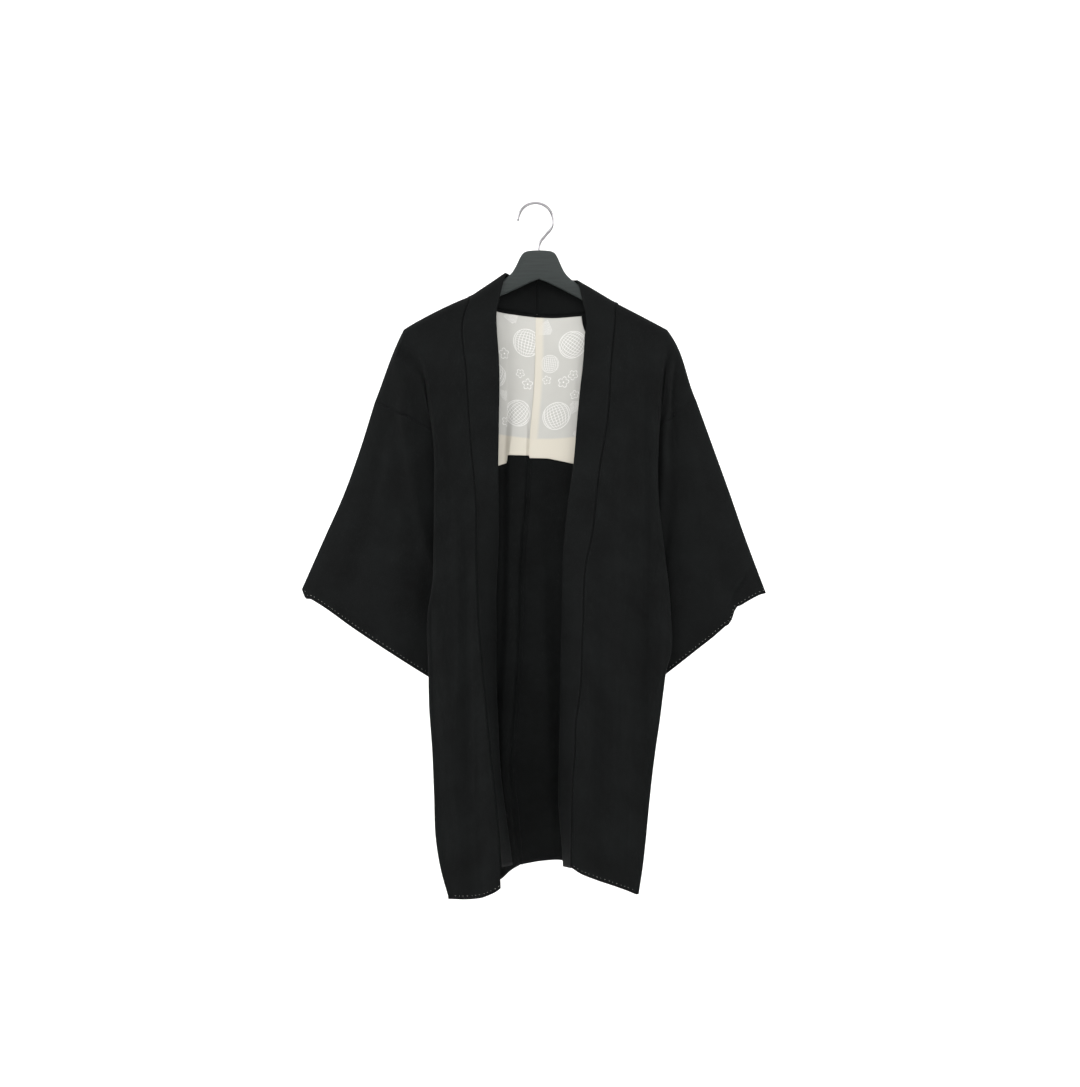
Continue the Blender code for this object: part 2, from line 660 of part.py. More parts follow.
def make_gusset(side, collection):
    """The narrow side gusset between front and back, from below the sleeve to the hem."""
    rows = []
    for t in GUSSET_T:
        front = overhang_place(side, -1, 1.0, t)
        back = overhang_place(side, 1, 1.0, t)
        row = []
        for share in GUSSET_SHARES:
            place = mix_place(front, back, share)
            bow = GUSSET_CLEARANCE + GUSSET_BOW * math.sin(math.pi * share)
            row.append(Place(place.x - side.sign * bow, place.down, place.y))
        rows.append(row)
    name = "gusset_" + side.name
    material = make_material("black_crepe_gusset_" + side.name, (0.012, 0.011, 0.013), 0.85)
    add_wall(add_object(name, sheet_mesh(name, (rows,)), material, collection), CLOTH_WALL)


def make_collar(side, collection):
    """Half of the folded collar band, from the centre back to the hem."""
    rows = []
    for seam, free in collar_rows(side):
        rows.append([mix_place(seam, free, share) for share in COLLAR_SHARES])
    name = "collar_" + side.name
    material = make_material("black_crepe_collar_" + side.name, (0.013, 0.012, 0.014), 0.85)
    add_wall(add_object(name, sheet_mesh(name, (rows,)), material, collection), COLLAR_WALL)


def make_lining(side, collection):
    """The lining of the upper back, lying on the inside of the back half."""
    rows = []
    for t in LINING_T:
        widest = mix(LINING_TOP_WIDTH, LINING_WIDTH, ease(0.0, 0.12, t))
        row = []
        for k in range(LINING_COLUMNS + 1):
            place = back_place(side, widest * k / LINING_COLUMNS, t)
            centre_gap = side.sign * (CENTRE_SEAM_GAP / 2 if k == 0 else 0.0)
            row.append(Place(place.x + centre_gap, place.down, place.y - LINING_OFFSET))
        rows.append(row)
    name = "lining_" + side.name
    material = make_material("silver_satin_" + side.name, (0.62, 0.61, 0.60), 0.4)
    add_wall(add_object(name, sheet_mesh(name, (rows,)), material, collection), LINING_WALL)


def hanger_ring(x):
    """One upright section of the hanger: straight faces with a round top and bottom."""
    out = abs(x)
    top = read(HANGER_ARM, out, "top")
    bottom = read(HANGER_ARM, out, "bottom")
    radius = ARM_RADIUS * (1 - TIP_NARROWING * ease(186, 198, out))
    shift = HANGER_MIDDLE_SHIFT * (1 - ease(20, 80, out))
    ring = []
    for k in range(RING_POINTS):
        angle = 2 * math.pi * (k + 0.5) / RING_POINTS
        centre = bottom - radius if math.sin(angle) > 0 else top + radius
        y = arm_depth(x) + radius * math.cos(angle)
        ring.append(Place(x + shift, centre + radius * math.sin(angle), y))
    return ring


def make_hanger_body(collection):
    """The shaped body of the hanger: a loft of upright sections from tip to tip."""
    outs = (12, 20, 26, 30, 35, 41, 50, 60, 84, 107, 128, 150, 170, 186, 194, 198)
    stations = [-out for out in reversed(outs)] + [0] + list(outs)
    bm = bmesh.new()
    rings = []
    for x in stations:
        rings.append([bm.verts.new(real_place(place)) for place in hanger_ring(x)])
    for first, second in zip(rings, rings[1:]):
        for k in range(len(first)):
            n = (k + 1) % len(first)
            bm.faces.new((first[k], first[n], second[n], second[k]))
    bm.faces.new(rings[0])
    bm.faces.new(rings[-1])
    bmesh.ops.recalc_face_normals(bm, faces=bm.faces)
    mesh = bpy.data.meshes.new("hanger_body")
    bm.to_mesh(mesh)
    bm.free()
    material = make_material("charcoal_lacquer", (0.035, 0.037, 0.036), 0.45)
    add_object("hanger_body", mesh, material, collection)


def make_hanger_hook(collection):
    """The bright wire hook: an open arc, then a short bend down into the hanger's top."""
    centre = -(HOOK_ARC_RADIUS - HOOK_WIRE_RADIUS)
    points = []
    for k in range(17):
        angle = math.radians(178 - k * 14)
        points.append((HOOK_ARC_RADIUS * math.cos(angle), centre + HOOK_ARC_RADIUS * math.sin(angle)))
    shank_x = MIDDLE_LINE_X + HANGER_MIDDLE_SHIFT
    points += [(12.0, -54.5), (7.6, -60.0), (shank_x, -66.0), (shank_x, -HANGER_ARM[0].top + 0.6)]
    curve = bpy.data.curves.new("hanger_hook", "CURVE")
    curve.dimensions = "3D"
    curve.bevel_depth = HOOK_WIRE_RADIUS * MILLIMETRE
    curve.bevel_resolution = 2
    curve.use_fill_caps = True
    spline = curve.splines.new("POLY")
    spline.points.add(len(points) - 1)
    for point, (x, z) in zip(spline.points, points):
        point.co = (x * MILLIMETRE, 0.0, z * MILLIMETRE, 1.0)
    curve.materials.append(make_material("bright_chrome", (0.75, 0.75, 0.76), 0.15, 1.0))
    collection.objects.link(bpy.data.objects.new("hanger_hook", curve))


def main():
    for old in list(bpy.data.objects):
        bpy.data.objects.remove(old)
    collection = bpy.data.collections.new("haori_on_hanger")
    bpy.context.scene.collection.children.link(collection)
    for side in SIDES:
        make_body(side, collection)
        make_sleeve(side, collection)
        make_gusset(side, collection)
        make_collar(side, collection)
        make_lining(side, collection)
    make_hanger_body(collection)
    make_hanger_hook(collection)


main()
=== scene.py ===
"""Looks of a haori on its hanger: black crepe outside, figured satin in the upper back.

Laid out as an add-on with one operator for each group of pieces. The tables are in millimetres,
as seen from VIEW_DISTANCE in front of the hanger, and real_place() turns such a place into metres.
"""
import math
from collections import namedtuple

import bmesh
import bpy
import numpy as np
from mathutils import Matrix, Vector


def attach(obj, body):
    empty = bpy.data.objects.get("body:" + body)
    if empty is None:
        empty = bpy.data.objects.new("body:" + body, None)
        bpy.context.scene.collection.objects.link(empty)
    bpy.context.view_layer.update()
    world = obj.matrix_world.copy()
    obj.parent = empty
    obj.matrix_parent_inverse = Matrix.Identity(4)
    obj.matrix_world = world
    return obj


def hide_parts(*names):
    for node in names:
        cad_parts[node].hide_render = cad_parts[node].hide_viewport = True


bl_info = {
    "name": "Haori on its hanger",
    "version": (1, 0, 0),
    "blender": (4, 5, 0),
    "location": "3D View > Sidebar > Haori",
    "description": "Builds the cloth, lining, basting, hanger and studio of a hanging haori",
    "category": "Object",
}

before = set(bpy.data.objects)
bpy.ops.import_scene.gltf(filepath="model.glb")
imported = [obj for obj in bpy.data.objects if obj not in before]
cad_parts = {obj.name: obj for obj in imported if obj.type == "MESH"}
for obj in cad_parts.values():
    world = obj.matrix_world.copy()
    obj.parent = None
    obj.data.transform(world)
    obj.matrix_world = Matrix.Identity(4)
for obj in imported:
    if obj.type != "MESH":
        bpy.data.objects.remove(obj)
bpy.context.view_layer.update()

MILLIMETRE = 0.001
BODY = "root"

# Where the tables are seen from, which is also the camera's place
VIEW_DISTANCE = 2600.0
EYE_X = 7.2
EYE_DOWN = 542.4
MIDDLE_LINE_X = 2.4
VIEW_HEIGHT = 1739.2

# Cloth over the hanger's arms, and the folds at the sides
ARM_FORWARD = 22.0
ARM_REACH = 208.0
OVER_ARM_RADIUS = 9.0
ARM_TOP_CLEARANCE = 2.2
SIDE_FOLD_RADIUS = 4.5
RETURN_WIDTH = 28.0
RETURN_SHARE = 0.23
UNDERARM_DROP = 30.0
ARMHOLE_T = 0.19
FOLDS_START_T = 0.004
EDGE_VALLEY = 5.0
CUFF_SHARPNESS = 6
SEAM_GAP = 0.5
HOOK_WIRE_RADIUS = 2.4
HOOK_ARC_RADIUS = 28.0
HANGER_MIDDLE_SHIFT = 3.2
HANGER_HALF_THICKNESS = 6.3
HANGER_EDGE_RADIUS = 3.2

Place = namedtuple("Place", "x down y")
Line = namedtuple("Line", "down out")
Corner = namedtuple("Corner", "out down")
Bulge = namedtuple("Bulge", "near far")
Cuff = namedtuple("Cuff", "share drop")
Hem = namedtuple("Hem", "across down")
Neck = namedtuple("Neck", "out down y")
Depth = namedtuple("Depth", "t inner edge")
BackDepth = namedtuple("BackDepth", "t middle edge")
Sleeve = namedtuple("Sleeve", "s top_out top_down under_out under_down")
Free = namedtuple("Free", "t out rise inward")
Nape = namedtuple("Nape", "f out down y")
Fold = namedtuple("Fold", "x_top down_top x_bottom down_bottom half_width height")
SleeveFold = namedtuple("SleeveFold", "face s_from s_to share_from share_to half_width height")
Arm = namedtuple("Arm", "out top bottom")
Level = namedtuple("Level", "x down")
Motif = namedtuple("Motif", "u v radius turn")
Side = namedtuple(
    "Side",
    "name sign neck_corner tip crown tip_bulge collar_seam side_fold front_hem back_hem neck sleeve cuff "
    "collar_end free nape folds sleeve_folds creases",
)

FRONT_DEPTH = (
    Depth(0.00, -17, -31), Depth(0.05, -19, -33), Depth(0.25, -27, -37), Depth(0.45, -36, -39),
    Depth(0.70, -48, -43), Depth(1.00, -62, -54),
)
BACK_DEPTH = (
    BackDepth(0.00, 14, -13), BackDepth(0.08, 15, 5), BackDepth(0.25, 18, 13), BackDepth(0.45, 24, 16),
    BackDepth(0.70, 34, 23), BackDepth(1.00, 46, 40),
)
CENTRE_SEAM = (
    Line(178, -2), Line(297, -5), Line(372, -11), Line(473, -16), Line(569, -23), Line(690, -26),
    Line(806, -33), Line(911, -39), Line(967, -34), Line(1060, -26),
)
PLEAT_EDGE = (
    Line(330, -42), Line(403, -47), Line(463, -48), Line(617, -50), Line(911, -61), Line(1060, -56),
)
PLEAT_HEIGHT = 8.0
PLEAT_SOFT_SIDE = 13.0
PLEAT_STEP_SIDE = 6.5
PLEAT_STARTS = 300.0
PLEAT_FULL = 440.0
BACK_FOLDS = (
    Fold(-112, 300, -92, 1050, 22, -6),
    Fold(24, 430, 44, 1050, 16, 5),
    Fold(84, 320, 104, 1050, 24, -6),
    Fold(128, 520, 138, 1050, 16, 5),
)

# Narrow creases of the back, softer and more uneven than the folds
BACK_CREASES = (
    Fold(-70, 470, -64, 900, 5, 2.2),
    Fold(-30, 520, -48, 960, 6, -1.6),
    Fold(12, 560, 22, 1050, 7, -1.8),
    Fold(58, 430, 66, 1050, 8, 2.0),
    Fold(-128, 420, -120, 1050, 7, 1.8),
    Fold(108, 260, 140, 620, 9, -2.2),
    Fold(-96, 230, -136, 560, 9, 2.2),
    Fold(70, 700, 90, 1060, 6, -1.6),
)

RIGHT = Side(
    name="right",
    sign=-1,
    neck_corner=Corner(107, 148),
    tip=Corner(213, 201),
    crown=3.6,
    tip_bulge=Bulge(5, 0),
    collar_seam=(
        Line(148, 107), Line(178, 118), Line(268, 114), Line(377, 107), Line(473, 99), Line(569, 98),
        Line(690, 93), Line(748, 88), Line(834, 80), Line(911, 72), Line(967, 66), Line(1046, 60),
        Line(1092, 58),
    ),
    side_fold=(
        Line(201, 213), Line(215, 211), Line(233, 196), Line(319, 174), Line(382, 166), Line(465, 165),
        Line(548, 166), Line(610, 168), Line(644, 174), Line(751, 174), Line(801, 173), Line(873, 168),
        Line(945, 165), Line(1017, 162), Line(1065, 154), Line(1108, 142),
    ),
    front_hem=(
        Hem(0.0, 1094), Hem(0.06, 1098), Hem(0.23, 1105), Hem(0.36, 1109), Hem(0.51, 1111), Hem(0.73, 1112),
        Hem(1.0, 1111),
    ),
    back_hem=(Hem(0.0, 1056), Hem(0.15, 1066), Hem(0.27, 1078), Hem(0.5, 1086), Hem(1.0, 1092)),
    neck=(
        Neck(0, 177, 14), Neck(32, 173, 13), Neck(64, 167, 11), Neck(86, 158, 8), Neck(97, 151.5, 4.4),
        Neck(102, 148, 0.9), Neck(107, 148, -5.8),
    ),
    sleeve=(
        Sleeve(0.00, 259, 316, 136, 377),
        Sleeve(0.25, 283, 393, 138, 470),
        Sleeve(0.50, 309, 465, 139, 575),
        Sleeve(0.75, 341, 537, 138, 680),
        Sleeve(1.00, 376, 616, 136, 777),
    ),
    cuff=(
        Cuff(0.0, 0), Cuff(0.015, 8), Cuff(0.06, 6), Cuff(0.12, 5), Cuff(0.34, 7), Cuff(0.6, 6.5),
        Cuff(0.84, 4), Cuff(1.0, 0),
    ),
    collar_end=0.965,
    free=(
        Free(0.000, 50, 39, 5), Free(0.0074, 54, 31, 4.5), Free(0.016, 59, 18, 4), Free(0.032, 64, 11, 3),
        Free(0.06, 64, 5, 3), Free(0.10, 61, 0, 4), Free(0.22, 61, 0, 8), Free(0.30, 62, 0, 14),
        Free(0.385, 61, 0, 29), Free(0.446, 63, 0, 34), Free(0.50, 66, 0, 38), Free(0.55, 66, 0, 41),
        Free(0.64, 66, 0, 43), Free(0.73, 62, 0, 45), Free(0.81, 58, 0, 46), Free(0.88, 50, 0, 44),
        Free(0.965, 40, 4, 42),
    ),
    nape=(
        Nape(0.00, 0, 117, 15.5), Nape(0.35, 20, 117.5, 14.5), Nape(0.65, 38, 115, 12.5),
        Nape(0.85, 48, 110, 7.5), Nape(1.00, 50, 109, -0.8),
    ),
    folds=(
        Fold(-167, 560, -138, 930, 10, -6),
        Fold(-120, 500, -109, 960, 11, 6),
        Fold(-150, 300, -146, 620, 12, 3),
        Fold(-82, 760, -74, 1080, 12, -3),
    ),
    sleeve_folds=(
        SleeveFold(-1, -0.2, 0.65, 0.17, 0.92, 0.08, 4.5),
        SleeveFold(-1, 0.1, 1.1, 0.20, 0.30, 0.06, -1.8),
        SleeveFold(-1, 0.3, 1.1, 0.52, 0.60, 0.08, 2.4),
        SleeveFold(-1, 0.45, 1.1, 0.80, 0.78, 0.05, -2.0),
        SleeveFold(1, -0.2, 0.8, 0.15, 0.72, 0.09, 3.5),
        SleeveFold(1, 0.2, 1.1, 0.55, 0.48, 0.07, -2.2),
        SleeveFold(1, 0.4, 1.1, 0.75, 0.82, 0.05, 1.8),
    ),
    creases=(
        Fold(-133, 470, -128, 900, 5, -2.4),
        Fold(-104, 560, -98, 1000, 6, -2.0),
        Fold(-158, 640, -130, 1080, 5, 2.2),
        Fold(-190, 215, -150, 430, 8, 1.6),
        Fold(-128, 190, -136, 420, 8, -1.6),
        Fold(-96, 840, -88, 1090, 5, 1.6),
        Fold(-148, 900, -140, 1100, 6, -1.8),
    ),
)

LEFT = Side(
    name="left",
    sign=1,
    neck_corner=Corner(126, 158),
    tip=Corner(208, 201),
    crown=0.4,
    tip_bulge=Bulge(14, -2),
    collar_seam=(
        Line(158, 126), Line(175, 126), Line(249, 120), Line(345, 114), Line(425, 101), Line(537, 88),
        Line(569, 81), Line(681, 75), Line(793, 69), Line(825, 64), Line(882, 62), Line(919, 59),
        Line(1000, 57), Line(1058, 56),
    ),
    side_fold=(
        Line(201, 208), Line(236, 206), Line(313, 200), Line(361, 196), Line(486, 196), Line(537, 202),
        Line(569, 206), Line(652, 214), Line(722, 214), Line(743, 208), Line(777, 203), Line(825, 197),
        Line(873, 190), Line(921, 184), Line(969, 179), Line(1017, 174.5), Line(1065, 169), Line(1104, 163),
    ),
    front_hem=(
        Hem(0.0, 1062), Hem(0.1, 1069), Hem(0.35, 1080), Hem(0.61, 1089), Hem(0.82, 1096.5), Hem(1.0, 1104),
    ),
    back_hem=(
        Hem(0.0, 1056), Hem(0.2, 1050), Hem(0.38, 1050), Hem(0.5, 1060), Hem(0.7, 1076), Hem(1.0, 1092),
    ),
    neck=(
        Neck(0, 177, 14), Neck(29, 178, 13.5), Neck(58, 176, 12.5), Neck(78, 174, 11), Neck(101, 168, 8),
        Neck(115, 161.5, 2.3), Neck(121, 158, -1.0), Neck(126, 158, -8.1),
    ),
    sleeve=(
        Sleeve(0.00, 254, 313, 168, 377),
        Sleeve(0.25, 283, 393, 171, 470),
        Sleeve(0.50, 309, 465, 174, 575),
        Sleeve(0.75, 334, 537, 175, 680),
        Sleeve(1.00, 366, 622, 173, 777),
    ),
    cuff=(
        Cuff(0.0, 0), Cuff(0.05, -5), Cuff(0.1, -8), Cuff(0.2, -12), Cuff(0.255, -13), Cuff(0.28, -2),
        Cuff(0.35, 1), Cuff(0.6, 2), Cuff(1.0, 0),
    ),
    collar_end=1.0,
    free=(
        Free(0.000, 64, 36, 6), Free(0.0056, 68, 30, 5), Free(0.011, 72, 17, 4), Free(0.02, 77, 6, 3),
        Free(0.06, 76, 0, 4), Free(0.10, 74, 0, 7), Free(0.15, 69, 0, 6), Free(0.208, 64, 0, 6),
        Free(0.286, 58, 0, 13), Free(0.35, 50, 0, 14), Free(0.43, 43, 0, 20), Free(0.563, 40, 0, 31),
        Free(0.634, 38, 0, 33), Free(0.72, 37, 0, 37), Free(0.80, 36, 0, 40), Free(0.887, 35, 2, 42),
        Free(0.96, 40, 2, 44), Free(1.00, 42, 3, 44),
    ),
    nape=(
        Nape(0.00, 0, 117, 15.5), Nape(0.35, 24, 119.5, 14.5), Nape(0.65, 46, 121.5, 12.5),
        Nape(0.85, 59, 121, 7.5), Nape(1.00, 64, 121.5, -1.2),
    ),
    folds=(
        Fold(182, 330, 178, 900, 10, 4),
        Fold(150, 260, 128, 1000, 14, -5),
        Fold(104, 560, 96, 1060, 11, 4),
        Fold(206, 560, 178, 960, 9, -4),
    ),
    sleeve_folds=(
        SleeveFold(-1, -0.2, 0.7, 0.24, 0.92, 0.055, -3.5),
        SleeveFold(-1, -0.2, 0.6, 0.40, 1.00, 0.07, 4.0),
        SleeveFold(-1, 0.2, 1.1, 0.30, 0.42, 0.09, 2.2),
        SleeveFold(-1, 0.4, 1.1, 0.66, 0.62, 0.06, -1.8),
        SleeveFold(1, -0.2, 0.8, 0.20, 0.66, 0.09, 3.5),
        SleeveFold(1, 0.2, 1.1, 0.50, 0.44, 0.07, -2.0),
        SleeveFold(1, 0.4, 1.1, 0.78, 0.84, 0.05, 1.8),
    ),
    creases=(
        Fold(166, 240, 170, 620, 7, -2.2),
        Fold(128, 640, 118, 1080, 6, 2.0),
        Fold(88, 700, 82, 1070, 5, -1.8),
        Fold(150, 760, 146, 1090, 6, -2.0),
        Fold(198, 420, 190, 760, 5, 1.8),
        Fold(140, 190, 158, 420, 8, 1.6),
        Fold(96, 1000, 120, 1064, 5, -2.0),
    ),
)
SIDES = (RIGHT, LEFT)

HANGER_ARM = (
    Arm(0, 72.8, 120), Arm(12, 73.2, 124.6), Arm(20, 74.6, 128.2), Arm(26, 78, 131), Arm(30, 84, 133),
    Arm(35, 95, 135.3), Arm(41, 106.5, 138.2), Arm(50, 116.5, 142.6), Arm(60, 124, 147),
    Arm(84, 138.5, 160), Arm(107, 150.2, 171), Arm(150, 173.4, 194), Arm(186, 192.8, 213),
    Arm(198, 199.6, 212),
)

# The lining's lower edge, which steps up over the pleat
LINING_BOTTOM = (
    Level(-90, 419), Level(-61, 417.6), Level(-48.4, 413.6), Level(-47.4, 400.8), Level(-13, 401.6),
    Level(-12, 405.6), Level(19, 406.6), Level(56, 414.4), Level(110, 419),
)
LINING_SEAM_STRIP = 10.0
LINING_HEM_BAND = 36.0
LINING_LENGTH = 232.0

# The figured satin: thread balls, plum blossoms and fans of fine lines on each half
BALLS_RIGHT = (Motif(27, 76, 22, 0.7), Motif(17, 190, 23, 0.2), Motif(74, 132, 21, 0.5))
BALLS_LEFT = (Motif(40, 74, 23, 0.4), Motif(60, 187, 23, 0.9), Motif(24, 158, 15, 0.1))
BLOSSOMS_RIGHT = (Motif(14, 124, 9, 0.3), Motif(27, 140, 7, 0.9), Motif(55, 168, 9, 0.2), Motif(52, 60, 8, 0.6))
BLOSSOMS_LEFT = (Motif(47, 128, 9, 0.1), Motif(62, 138, 8, 0.8), Motif(66, 106, 7, 0.4), Motif(20, 132, 7, 0.5))
FANS_RIGHT = (Motif(36, 214, 20, 1.2), Motif(46, 108, 15, -0.5))
FANS_LEFT = (Motif(58, 96, 19, -0.7), Motif(30, 206, 22, 2.6), Motif(66, 44, 14, -0.2))


def linear(code):
    """Turn an sRGB hex colour into Blender's linear colour."""
    channels = [int(code[k:k + 2], 16) / 255 for k in (1, 3, 5)]
    return tuple(c / 12.92 if c <= 0.04045 else ((c + 0.055) / 1.055) ** 2.4 for c in channels) + (1.0,)


def real_place(place):
    """Turn a place as seen from the front into the real one, in metres."""
    nearer = 1 + place.y / VIEW_DISTANCE
    x = EYE_X + (MIDDLE_LINE_X + place.x - EYE_X) * nearer
    down = EYE_DOWN + (place.down - EYE_DOWN) * nearer
    return Vector((x * MILLIMETRE, place.y * MILLIMETRE, -down * MILLIMETRE))


def mix(first, second, share):
    """The value that lies the given share of the way from first to second."""
    return first + (second - first) * share


def mix_place(first, second, share):
    """The place that lies the given share of the way from first to second."""
    return Place(*(mix(a, b, share) for a, b in zip(first, second)))


def ease(low, high, value):
    """Rise softly from 0 at low to 1 at high."""
    share = min(max((value - low) / (high - low), 0.0), 1.0)
    return share * share * (3 - 2 * share)


curves = {}


def read(table, at, column):
    """Read a column of a table on a soft curve through its rows, keyed by the first column."""
    name = (id(table), column)
    if name not in curves:
        keys = [float(row[0]) for row in table]
        values = [float(getattr(row, column)) for row in table]
        curves[name] = (keys, values, [float(s) for s in np.gradient(values, keys)])
    keys, values, slopes = curves[name]
    at = min(max(at, keys[0]), keys[-1])
    k = 0
    while k < len(keys) - 2 and at >= keys[k + 1]:
        k += 1
    span = keys[k + 1] - keys[k]
    f = (at - keys[k]) / span
    start = (1 + 2 * f) * (1 - f) ** 2 * values[k] + f * (1 - f) ** 2 * span * slopes[k]
    end = f * f * (3 - 2 * f) * values[k + 1] + f * f * (f - 1) * span * slopes[k + 1]
    return start + end


def level(table, x):
    """Read a table of levels along straight lines between its rows."""
    for first, second in zip(table, table[1:]):
        if x <= second.x:
            return mix(first.down, second.down, max(x - first.x, 0) / (second.x - first.x))
    return table[-1].down


def bezier(points, share):
    """A point of the cubic curve with four control places."""
    rest = 1 - share
    weights = (rest ** 3, 3 * share * rest ** 2, 3 * share * share * rest, share ** 3)
    return Place(*(sum(w * p[axis] for w, p in zip(weights, points)) for axis in range(3)))


def arm_depth(x):
    """Depth of the hanger's arm, which bends forward towards its tip."""
    return -ARM_FORWARD * (x / ARM_REACH) ** 2


def over_arm(x, down, face):
    """Least depth to either face of the hanger that clears its arm, rounded over the arm's top."""
    drop = down - read(HANGER_ARM, abs(x), "top") + ARM_TOP_CLEARANCE
    share = min(max(drop / OVER_ARM_RADIUS, 0.0), 1.0)
    return arm_depth(x) + face * OVER_ARM_RADIUS * math.sqrt(1 - (1 - share) ** 2)


def from_ridge(x, y, down, ridge, face):
    """Bring a panel's depth to the shoulder line at its top, clear of the hanger's arm below it."""
    drop = down - ridge
    clear = arm_depth(x) + face * OVER_ARM_RADIUS
    beside_arm = face * max(face * y, face * clear)
    y = mix(beside_arm, y, ease(30, 70, drop))
    share = min(max(drop, 0.0) / OVER_ARM_RADIUS, 1.0)
    return mix(arm_depth(x), y, math.sqrt(1 - (1 - share) ** 2))


def fold_relief(folds, x, down):
    """Sum of the long soft folds at a point, each a row of its table."""
    total = 0.0
    for fold in folds:
        along = (down - fold.down_top) / (fold.down_bottom - fold.down_top)
        path = mix(fold.x_top, fold.x_bottom, along)
        swell = ease(-0.05, 0.25, along) * (1 - 0.6 * ease(0.8, 1.1, along))
        total += fold.height * swell * math.exp(-((x - path) / fold.half_width) ** 2)
    return total


def crease_relief(creases, x, down):
    """Narrow creases that wander a little and fade out at both ends."""
    total = 0.0
    for n, crease in enumerate(creases):
        along = (down - crease.down_top) / (crease.down_bottom - crease.down_top)
        if not -0.15 < along < 1.15:
            continue
        wander = 2.6 * math.sin(5.1 * along + 1.7 * n) + 1.1 * math.sin(13.0 * along + n)
        path = mix(crease.x_top, crease.x_bottom, along) + wander
        swell = ease(-0.12, 0.3, along) * (1 - ease(0.7, 1.12, along))
        uneven = 0.75 + 0.25 * math.sin(9.0 * along + 2.3 * n)
        total += crease.height * swell * uneven * math.exp(-((x - path) / crease.half_width) ** 2)
    return total


def drape(x, down, seed):
    """The faint unevenness of hanging cloth, in broad upright waves."""
    return (
        0.55 * math.sin(x / 19 + down / 260 + seed)
        + 0.35 * math.sin(x / 9.5 - down / 170 + 2.1 * seed)
        + 0.30 * math.sin(down / 47 + x / 60 + seed)
        + 0.16 * math.sin(down / 21 - x / 33 + 1.3 * seed)
    )


def pleat_relief(x, down):
    """The flat pleat of the back: a soft rise on one side and a step at the centre seam."""
    rise_at = read(PLEAT_EDGE, down, "out")
    step_at = read(CENTRE_SEAM, down, "out")
    rise = ease(rise_at - PLEAT_SOFT_SIDE / 2, rise_at + PLEAT_SOFT_SIDE / 2, x)
    step = ease(step_at - PLEAT_STEP_SIDE, step_at, x)
    crown = 1 + 0.12 * math.sin(math.pi * min(max((x - rise_at) / (step_at - rise_at), 0), 1))
    return -PLEAT_HEIGHT * crown * rise * (1 - step) * ease(PLEAT_STARTS, PLEAT_FULL, down)


def shoulder_line(side, share):
    """Height of the shoulder line, from the neck corner (0) to the hanger's tip (1)."""
    crown = side.crown * max(math.sin(math.pi * share), 0.0) ** 0.6
    return mix(side.neck_corner.down, side.tip.down, share) - crown


def front_place(side, across, t):
    """A point of a front panel: across from collar seam (0) to side fold (1), t from shoulder to hem."""
    ridge = shoulder_line(side, across)
    down = mix(ridge, read(side.front_hem, across, "down"), t)
    inner_down = mix(side.neck_corner.down, side.front_hem[0].down, t)
    edge_down = mix(side.tip.down, side.front_hem[-1].down, t)
    inner = read(side.collar_seam, inner_down, "out")
    edge = read(side.side_fold, edge_down, "out") - SIDE_FOLD_RADIUS * ease(0, 0.05, t)
    x = side.sign * mix(inner, edge, across)
    y = mix(read(FRONT_DEPTH, t, "inner"), read(FRONT_DEPTH, t, "edge"), across ** 1.4)
    y += fold_relief(side.folds, x, down)
    if down - ridge > 12:
        settled = ease(12, 60, down - ridge) * (1 - ease(0.97, 1.0, across))
        y += settled * (crease_relief(side.creases, x, down) + drape(x, down, 3.0 + side.sign))
    return Place(x, down, from_ridge(x, y, down, ridge, -1))


def neck_share(side):
    """How far across the back's upper edge the neck corner lies."""
    centre = CENTRE_SEAM[0].out
    return (side.sign * side.neck_corner.out - centre) / (side.sign * side.tip.out - centre)


def back_place(side, across, t):
    """A point of a back half: across from the centre seam (0) to the side (1), t from top to hem."""
    corner = neck_share(side)
    if across >= corner:
        share = (across - corner) / (1 - corner)
        ridge = shoulder_line(side, share)
        ridge_y = None
    else:
        out = side.neck_corner.out * across / corner
        ridge = read(side.neck, out, "down")
        ridge_y = read(side.neck, out, "y")
    down = mix(ridge, read(side.back_hem, across, "down"), t)
    middle_down = mix(side.neck[0].down, side.back_hem[0].down, t)
    edge_down = mix(side.tip.down, side.back_hem[-1].down, t)
    middle = read(CENTRE_SEAM, middle_down, "out")
    edge = side.sign * (read(side.side_fold, edge_down + 20 * t, "out") - 7 * ease(0, 0.05, t))
    x = mix(middle, edge, across)
    y = mix(read(BACK_DEPTH, t, "middle"), read(BACK_DEPTH, t, "edge"), across ** 1.6)
    y += (fold_relief(BACK_FOLDS, x, down) + pleat_relief(x, down))
    if down - ridge > 12:
        settled = ease(12, 60, down - ridge) * (1 - ease(0.97, 1.0, across))
        y += settled * (crease_relief(BACK_CREASES, x, down) + drape(x, down, 1.0))
    if ridge_y is None:
        return Place(x, down, from_ridge(x, y, down, ridge, 1))
    settle = ease(0, 40, down - ridge)
    y = mix(ridge_y, max(y, ridge_y), settle)
    return Place(x, down, max(y, over_arm(x, down, 1)))


def sleeve_relief(side, face, s, share):
    """Soft folds down a sleeve's front (-1) or back (1) face, outward positive."""
    total = 0.0
    for fold in side.sleeve_folds:
        if fold.face == face:
            along = (s - fold.s_from) / (fold.s_to - fold.s_from)
            path = mix(fold.share_from, fold.share_to, along) + 0.012 * math.sin(6 * along)
            swell = ease(-0.1, 0.2, along) * (1 - 0.7 * ease(0.75, 1.0, along))
            total += fold.height * swell * math.exp(-((share - path) / fold.half_width) ** 2)
    ripple = math.sin(share * 21 + s * 3) * math.sin(s * 5 + share * 2) * 0.7 * ease(0, 0.1, s)
    return total + ripple * math.sin(math.pi * share) + cuff_crease(side, face, s, share)


